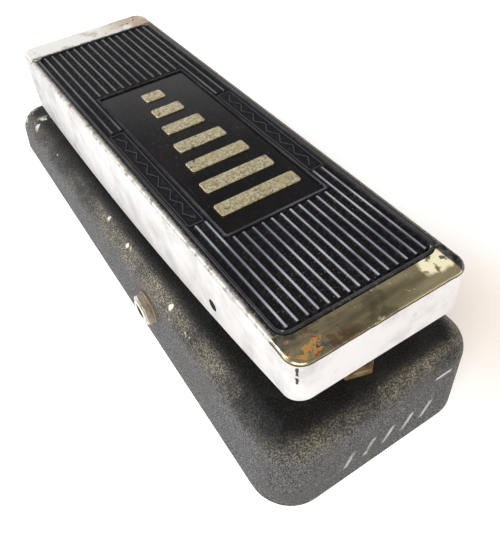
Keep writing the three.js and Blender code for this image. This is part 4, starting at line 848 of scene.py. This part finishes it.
def make_treadle():
    outer = plan(TREADLE_WIDTH, TREADLE_TOE, TREADLE_HEEL, TREADLE_CORNER, TREADLE_CORNER, 18, 42)
    pocket = plan(MAT_WIDTH, POCKET_TOE, POCKET_HEEL, MAT_CORNER, MAT_CORNER, 18, 42)
    foot = lambda y: TREADLE_TOP - skirt_depth(y)
    lip = 0.5
    rings = [ring(outer, SKIRT_WALL, UNDERSIDE)]
    for share in (0.66, 0.33):
        rings.append(ring(outer, SKIRT_WALL, lambda y: foot(y) + lip + share * (UNDERSIDE - foot(y) - lip)))
    rings.append(ring(outer, SKIRT_WALL, lambda y: foot(y) + lip))
    for angle in arc_angles(3):
        inset, rise = SKIRT_WALL - lip * (1 - cos(angle)), lip * (1 - sin(angle))
        rings.append(ring(outer, inset, lambda y: foot(y) + rise))
    for angle in [0.0] + arc_angles(3):
        rise = lip * (1 - cos(angle))
        rings.append(ring(outer, lip * (1 - sin(angle)), lambda y: foot(y) + rise))
    shoulder = TREADLE_TOP - TREADLE_EDGE
    for share in (0.2, 0.4, 0.6, 0.8, 1.0):
        rings.append(ring(outer, 0.0, lambda y: foot(y) + lip + share * (shoulder - foot(y) - lip)))
    for angle in arc_angles(7):
        drop = TREADLE_EDGE * (1 - sin(angle))
        rings.append(ring(outer, TREADLE_EDGE * (1 - cos(angle)), TREADLE_TOP - drop))
    for drop in (0.0, 0.12):
        rings.append(ring(pocket, -0.12 + drop, TREADLE_TOP - drop))
    rings.append(ring(pocket, 0.0, TREADLE_TOP - MAT_POCKET))
    shell = build("rocker_shell", loft(rings), TREADLE)
    solid = Shape()
    for side in (-1, 1):
        x0, x1 = sorted((side * (TREADLE_WIDTH / 2 - 6), side * (TREADLE_WIDTH / 2 - 1)))
        solid += rod(BOSS_RADIUS, x0, x1, "X")
        x0, x1 = sorted((side * RACK_LUG_X0, side * RACK_LUG_X1))
        solid += block(x0, x1, RACK_ARM - 4, RACK_ARM + 4, -3.5, UNDERSIDE + 1)
        solid += rod(BOSS_RADIUS, foot(HEEL_BOSS_Y), UNDERSIDE + 1).moved(side * HEEL_BOSS_X, HEEL_BOSS_Y)
    solid += rod(PRESS_BOSS_RADIUS, PRESS_BOSS_Z, UNDERSIDE + 1).moved(SWITCH_X, PRESS_BOSS_Y)
    cuts = rod(PIN_BORE, -40, 40, "X") + rod(RACK_PIN_BORE, -12, 12, "X", 32).moved(0, RACK_ARM, 0)
    combine(shell, ("UNION", solid), ("DIFFERENCE", cuts))
    polish(shell)
    return place(shell, "treadle", "treadle_chrome", CHROME, "treadle_shell")


make_treadle()


# ---- tread mat ----
def ridge(points, width, height, low=-0.2):
    """A low ridge with a rounded crest along a polyline of (x, y) points."""
    half = width / 2
    section = [(half, low), (half, height * 0.35), (half * 0.72, height * 0.8), (half * 0.3, height)]
    section += [(-a, b) for a, b in section[::-1]]
    rings = []
    for i, (x, y) in enumerate(points):
        before = Vector(points[max(0, i - 1)])
        after = Vector(points[min(len(points) - 1, i + 1)])
        here = Vector((x, y))
        one, two = (here - before), (after - here)
        one = one.normalized() if one.length else two.normalized()
        two = two.normalized() if two.length else one
        along = (one + two).normalized()
        across = Vector((along.y, -along.x))
        across *= 1 / max(0.35, along.dot(one))
        rings.append([(x + across.x * a, y + across.y * a, FIELD_Z + b) for a, b in section])
    return loft(rings)


def make_rib(x, y0, y1):
    """A rib with rounded crest whose ends slope down a little."""
    shape = ridge([(x, y0), (x, y0 + 0.25), (x, y1 - 0.25), (x, y1)], RIB_WIDTH, RIB_HEIGHT)
    for v in shape.verts:
        if (v.y < y0 + 0.1 or v.y > y1 - 0.1) and v.z > FIELD_Z + 0.3:
            v.z -= 0.18
    return shape


def make_mat():
    width = MAT_WIDTH - 2 * TRIM_GAP
    outer = plan(width, MAT_TOE, MAT_HEEL, MAT_CORNER, MAT_CORNER, 12, 8)
    half, top = BEAD_WIDTH / 2, FIELD_Z + BEAD_HEIGHT
    rings = [ring(outer, 0.0, MAT_Z), ring(outer, 0.0, top - half * 0.9)]
    for angle in arc_angles(5) + [pi - a for a in arc_angles(5)[::-1]][1:]:
        rings.append(ring(outer, half * (1 - cos(angle)), top - half * 0.9 * (1 - sin(angle))))
    rings.append(ring(outer, BEAD_WIDTH, top - half * 0.9 - 0.05))
    rings.append(ring(outer, BEAD_WIDTH + 0.1, FIELD_Z))
    mat = build("ribbed_mat", loft(rings), TREADLE)

    raised = Shape()
    for i in range(RIB_COUNT):
        x = (i - (RIB_COUNT - 1) / 2) * RIB_PITCH
        beside_panel = abs(x) >= PANEL_WIDTH / 2 + 1.5
        stop = (STRIP_TOE, STRIP_HEEL) if beside_panel else (PANEL_Y0 - 2, PANEL_Y1 + 2)
        raised += make_rib(x, MAT_TOE + RIB_GAP, stop[0]) + make_rib(x, stop[1], MAT_HEEL - RIB_GAP)
    y0, y1 = STRIP_TOE + 1.2, STRIP_HEEL - 1.2
    middle, step = (STRIP_INNER + STRIP_OUTER) / 2, (y1 - y0 - 5) / ZIGZAG_STEPS
    for side in (-1, 1):
        box = [(STRIP_INNER, y0), (STRIP_OUTER, y0), (STRIP_OUTER, y1), (STRIP_INNER, y1)]
        for (xa, ya), (xb, yb) in zip(box, box[1:] + box[:1]):
            if xa == xb:
                ya, yb = (ya + 0.35, yb - 0.35) if ya < yb else (ya - 0.35, yb + 0.35)
            raised += ridge([(side * xa, ya), (side * xb, yb)], OUTLINE_WIDTH, OUTLINE_HEIGHT)
        zigzag = []
        for k in range(ZIGZAG_STEPS + 1):
            x = middle + (ZIGZAG_SWING if k % 2 else -ZIGZAG_SWING)
            zigzag.append((side * x, y0 + 2.5 + k * step))
        raised += ridge(zigzag, ZIGZAG_WIDTH, ZIGZAG_HEIGHT)
    grow = 2 * (TRIM_GAP + FRAME_WIDTH)
    low, high = FIELD_Z - 0.2, FIELD_Z + FRAME_HEIGHT
    frame_ridge = slab(PANEL_WIDTH + grow, PANEL_LENGTH + grow, 1.6, low, high, 4, 0.35)
    raised += frame_ridge.moved(0, PANEL_MIDDLE)
    hollow = slab(PANEL_WIDTH + 2 * TRIM_GAP, PANEL_LENGTH + 2 * TRIM_GAP, 1, PANEL_FLOOR, FIELD_Z + 5, 4)
    combine(mat, ("UNION", raised), ("DIFFERENCE", hollow.moved(0, PANEL_MIDDLE)))
    polish(mat, 38)
    return place(mat, "treadle", "tread_rubber", RUBBER, "tread_mat")


make_mat()

PANEL_Z = PANEL_FLOOR + TRIM_GAP


def make_panel():
    plate = slab(PANEL_WIDTH, PANEL_LENGTH, 0.8, PANEL_Z, PANEL_Z + PANEL_THICKNESS, 6, 0.18)
    panel = polish(build("gloss_plate", plate.moved(0, PANEL_MIDDLE), TREADLE))
    place(panel, "treadle", "gloss_panel", GLOSS, "emblem_plate")
    pitch = (PANEL_LENGTH - 10) / BAR_COUNT
    low = PANEL_Z + PANEL_THICKNESS + TRIM_GAP
    rng = random.Random(7)
    for i in range(BAR_COUNT):
        width = BAR_LONG + (BAR_SHORT - BAR_LONG) * i / (BAR_COUNT - 1)
        shape = slab(width, BAR_DEPTH, 1.0, low, low + BAR_THICKNESS, 8, 0.22)
        for v in shape.verts:
            v.x += rng.uniform(-0.03, 0.03)
            v.y += rng.uniform(-0.03, 0.03)
        bar = build(f"inlay_bar_{i + 1}", shape.moved(0, PANEL_Y0 + 5 + pitch * (i + 0.5)), TREADLE)
        place(polish(bar), "treadle", "inlay_metal", INLAY, f"emblem_bar_{i + 1}")


make_panel()


# ---- jacks ----
def make_nut(flats, low, high, bore, turn):
    """A hexagonal nut along Z with chamfered corners and a bored middle."""
    corner = flats / sqrt(3)
    angles = [turn + i * pi / 3 for i in range(6)]
    outline = [(corner * cos(a), corner * sin(a)) for a in angles]
    nut = build("nut", loft([[(x, y, z) for x, y in outline] for z in (low, high)]))
    crown = [(0, low - 1), (corner + 1, low - 1), (corner + 1, low + 0.2), (corner + 1, high - 0.9)]
    crown += [(flats / 2 - 0.2, high + 0.05), (0, high + 0.05)]
    combine(nut, ("INTERSECT", lathe(crown, 72)))
    mouth = lathe([(0, high - 0.45), (bore, high - 0.45), (bore + 0.5, high + 0.1), (0, high + 0.1)], 48)
    combine(nut, ("DIFFERENCE", rod(bore, low - 2, high + 2)), ("DIFFERENCE", mouth))
    return nut


def bush(bore, radius, low, thread, top, chamfer):
    """A threaded bush along Z: its foot, its thread's start, its top and its bore's chamfer."""
    points, z = [(bore, low), (radius, low)], thread
    while z + THREAD_PITCH < top:
        points += [(radius, z), (radius - THREAD_DEPTH, z + THREAD_PITCH / 2)]
        z += THREAD_PITCH
    points += [(radius, z), (radius, top - 0.25), (radius - 0.3, top)]
    points += [(bore + chamfer, top), (bore, top - chamfer), (bore, low)]
    return lathe(points, 56)


def make_jack(side, angle):
    place_at = Matrix.Translation((0, JACK_Y * MM, JACK_Z * MM)) @ Matrix.Rotation(angle, 4, "Z")
    along_x = Matrix.Rotation(pi / 2, 4, "Y")
    end = JACK_SEAT_X + WASHER_THICKNESS + NUT_THICKNESS + 1.2
    tube = bush(JACK_BORE, JACK_BUSH, JACK_INNER_X - 1, JACK_INNER_X + 0.4, end, 0.35)
    frame_obj = build(f"jack_body_{side}", tube.turned(pi / 2, "Y"), place_at)
    bent = block(JACK_INNER_X - 1.4, JACK_INNER_X, -7, 7, -8, 6.5)
    arm = block(JACK_INNER_X - 17, JACK_INNER_X - 0.9, -5, 5, -8, -6.6)
    bore = rod(JACK_BORE - 0.02, 0, JACK_INNER_X + 0.2, "X", 56)
    combine(frame_obj, ("UNION", bent), ("UNION", arm), ("DIFFERENCE", bore))
    place(polish(frame_obj), "base", "steel", JACK_METAL, f"{side}_jack_frame")

    face = JACK_SEAT_X + GAP
    inner, top = JACK_BUSH + 0.1, face + WASHER_THICKNESS
    profile = [(inner, face), (WASHER_RADIUS, face), (WASHER_RADIUS, top - 0.25)]
    profile += [(WASHER_RADIUS - 0.25, top), (inner, top), (inner, face)]
    washer = build(f"jack_washer_{side}", lathe(profile, 56).turned(pi / 2, "Y"), place_at)
    place(polish(washer, weighted=False), "base", "brass", WASHER_METAL, f"{side}_jack_washer")

    face += WASHER_THICKNESS + TRIM_GAP
    nut = make_nut(JACK_NUT_FLATS, face, face + NUT_THICKNESS, inner, 0.35)
    nut.name = f"jack_nut_{side}"
    nut.data.transform(along_x)
    nut.matrix_world = place_at
    place(polish(nut, bevel=0.12), "base", "steel", NUT_METAL, f"{side}_jack_nut")


make_jack("right", 0.0)
make_jack("left", pi)


# ---- toe switch ----
SWITCH = DECK @ Matrix.Translation((SWITCH_X * MM, SWITCH_Y / cos(DECK_SLOPE) * MM, 0))


def make_switch():
    nut = make_nut(SWITCH_NUT_FLATS, GAP, GAP + NUT_THICKNESS, SWITCH_BUSH + 0.1, radians(43))
    nut.name = "toe_nut"
    nut.matrix_world = SWITCH
    place(polish(nut, bevel=0.15), "base", "brass", TAN_METAL, "toe_switch_nut")

    under = -BASE_WALL - GAP
    tube = bush(SWITCH_BORE, SWITCH_BUSH, under - 1, -2.5, SWITCH_BUSH_TOP, 0.4)
    body = build("toe_switch", tube, SWITCH)
    box = block(-8.5, 8.5, -8.5, 8.5, under - 16, under)
    lugs = Shape()
    for i in (-1, 0, 1):
        for j in (-1, 1):
            lugs += block(i * 5 - 1, i * 5 + 1, j * 4 - 0.4, j * 4 + 0.4, -24, -19)
    well = rod(SWITCH_BORE - 0.02, -7, -3, sides=56)
    combine(body, ("UNION", box), ("UNION", lugs), ("DIFFERENCE", well))
    place(polish(body), "base", "steel", STEEL, "toe_switch_body")

    profile = [(0, -2), (BUTTON_RADIUS, -2), (BUTTON_RADIUS, BUTTON_TOP - 1)]
    for angle in arc_angles(5):
        profile.append((BUTTON_RADIUS - 1 + cos(angle), BUTTON_TOP - 1 + sin(angle)))
    button = build("switch_button", lathe(profile + [(0, BUTTON_TOP)], 48), SWITCH)
    place(polish(button, weighted=False), "toe_button", "steel", STEEL, "toe_switch_button")


make_switch()

# ---- materials of the CAD nodes that stay ----
KEPT = (
    (BRASS, "pinion pivot_bush_left pivot_bush_right pot_nut left_jack_contact right_jack_contact"),
    (DARK_BRASS, "pivot_shaft"),
    (NYLON, "rack rack_guide"),
    (PHENOLIC, "left_jack_stack right_jack_stack"),
    (FELT, "toe_press_pad"),
    (FOOT_RUBBER, "heel_stop_pad_left heel_stop_pad_right"),
    (WIRE_RED, "wire_input"),
    (WIRE_WHITE, "wire_output"),
    (WIRE_BLACK, "wire_ground"),
)
finished = {name: material for material, names in KEPT for name in names.split()}
for name, node in nodes.items():
    if not node.hide_render:
        node.data.materials.clear()
        node.data.materials.append(finished.get(name, STEEL))

# ---- floor, light ----
FLOOR_HALF, FLOOR_GLOW, DOME_STRENGTH = 3000.0, 0.42, 1.5


def make_floor():
    """A white table that glows a little, with a painted soft warm shadow to the right of the object."""
    half = FLOOR_HALF
    corners = [(-half, -half, 0), (half, -half, 0), (half, half, 0), (-half, half, 0)]
    floor = build("floor", Shape(corners, [[0, 1, 2, 3]]))
    p = Paint("floor", Specular_IOR_Level=0.1, Emission_Strength=FLOOR_GLOW)
    tone = p.noise(3, 2, 0.5)
    white = p.mix(tone, (0.93, 0.925, 0.92), (0.92, 0.915, 0.91))
    # a painted soft shadow, warm, on the floor to the right of the object
    tint = p.spot(85, -100, 0, 45, 45)
    color = p.mix(tint, white, (0.74, 0.675, 0.615))
    p.feed(p.bsdf.inputs["Emission Color"], color)
    floor.data.materials.append(p.finish(color, 0.9))


make_floor()


def area_light(name, place, width, height, power, color):
    """A rectangular light that faces the middle of the object."""
    light = bpy.data.lights.new(name, "AREA")
    light.shape, light.size, light.size_y = "RECTANGLE", width, height
    light.energy, light.color = power, color
    lamp = new_object(name, light)
    lamp.location = place
    lamp.rotation_mode = "QUATERNION"
    lamp.rotation_quaternion = (Vector((0, 0, 0.04)) - lamp.location).to_track_quat("-Z", "Y")


def make_light():
    """A dome that is bright near the horizon, a soft box at the front left, a cool window behind."""
    world = bpy.data.worlds.new("studio")
    bpy.context.scene.world = world
    world.use_nodes = True
    tree = world.node_tree
    background = tree.nodes["Background"]
    direction = tree.nodes.new("ShaderNodeTexCoord").outputs["Generated"]
    split = tree.nodes.new("ShaderNodeSeparateXYZ")
    tree.links.new(direction, split.inputs[0])
    ramp = tree.nodes.new("ShaderNodeValToRGB")
    tree.links.new(split.outputs[2], ramp.inputs[0])
    stops = ramp.color_ramp.elements
    stops[0].position, stops[0].color = 0.0, (1.0, 0.985, 0.97, 1)
    stops[1].position, stops[1].color = 1.0, (0.06, 0.062, 0.068, 1)
    for position, color in ((0.24, (0.95, 0.94, 0.93, 1)), (0.48, (0.13, 0.13, 0.132, 1))):
        stop = stops.new(position)
        stop.color = color
    tree.links.new(ramp.outputs[0], background.inputs[0])
    background.inputs[1].default_value = DOME_STRENGTH
    area_light("softbox", (-1.1, -1.1, 1.3), 1.6, 1.2, 42, (1.0, 0.985, 0.965))
    area_light("window", (-0.81, 0.73, 0.72), 0.35, 0.9, 10, (0.84, 0.91, 1.0))


make_light()
bpy.context.scene.view_settings.view_transform = "Standard"

bpy.context.view_layer.update()
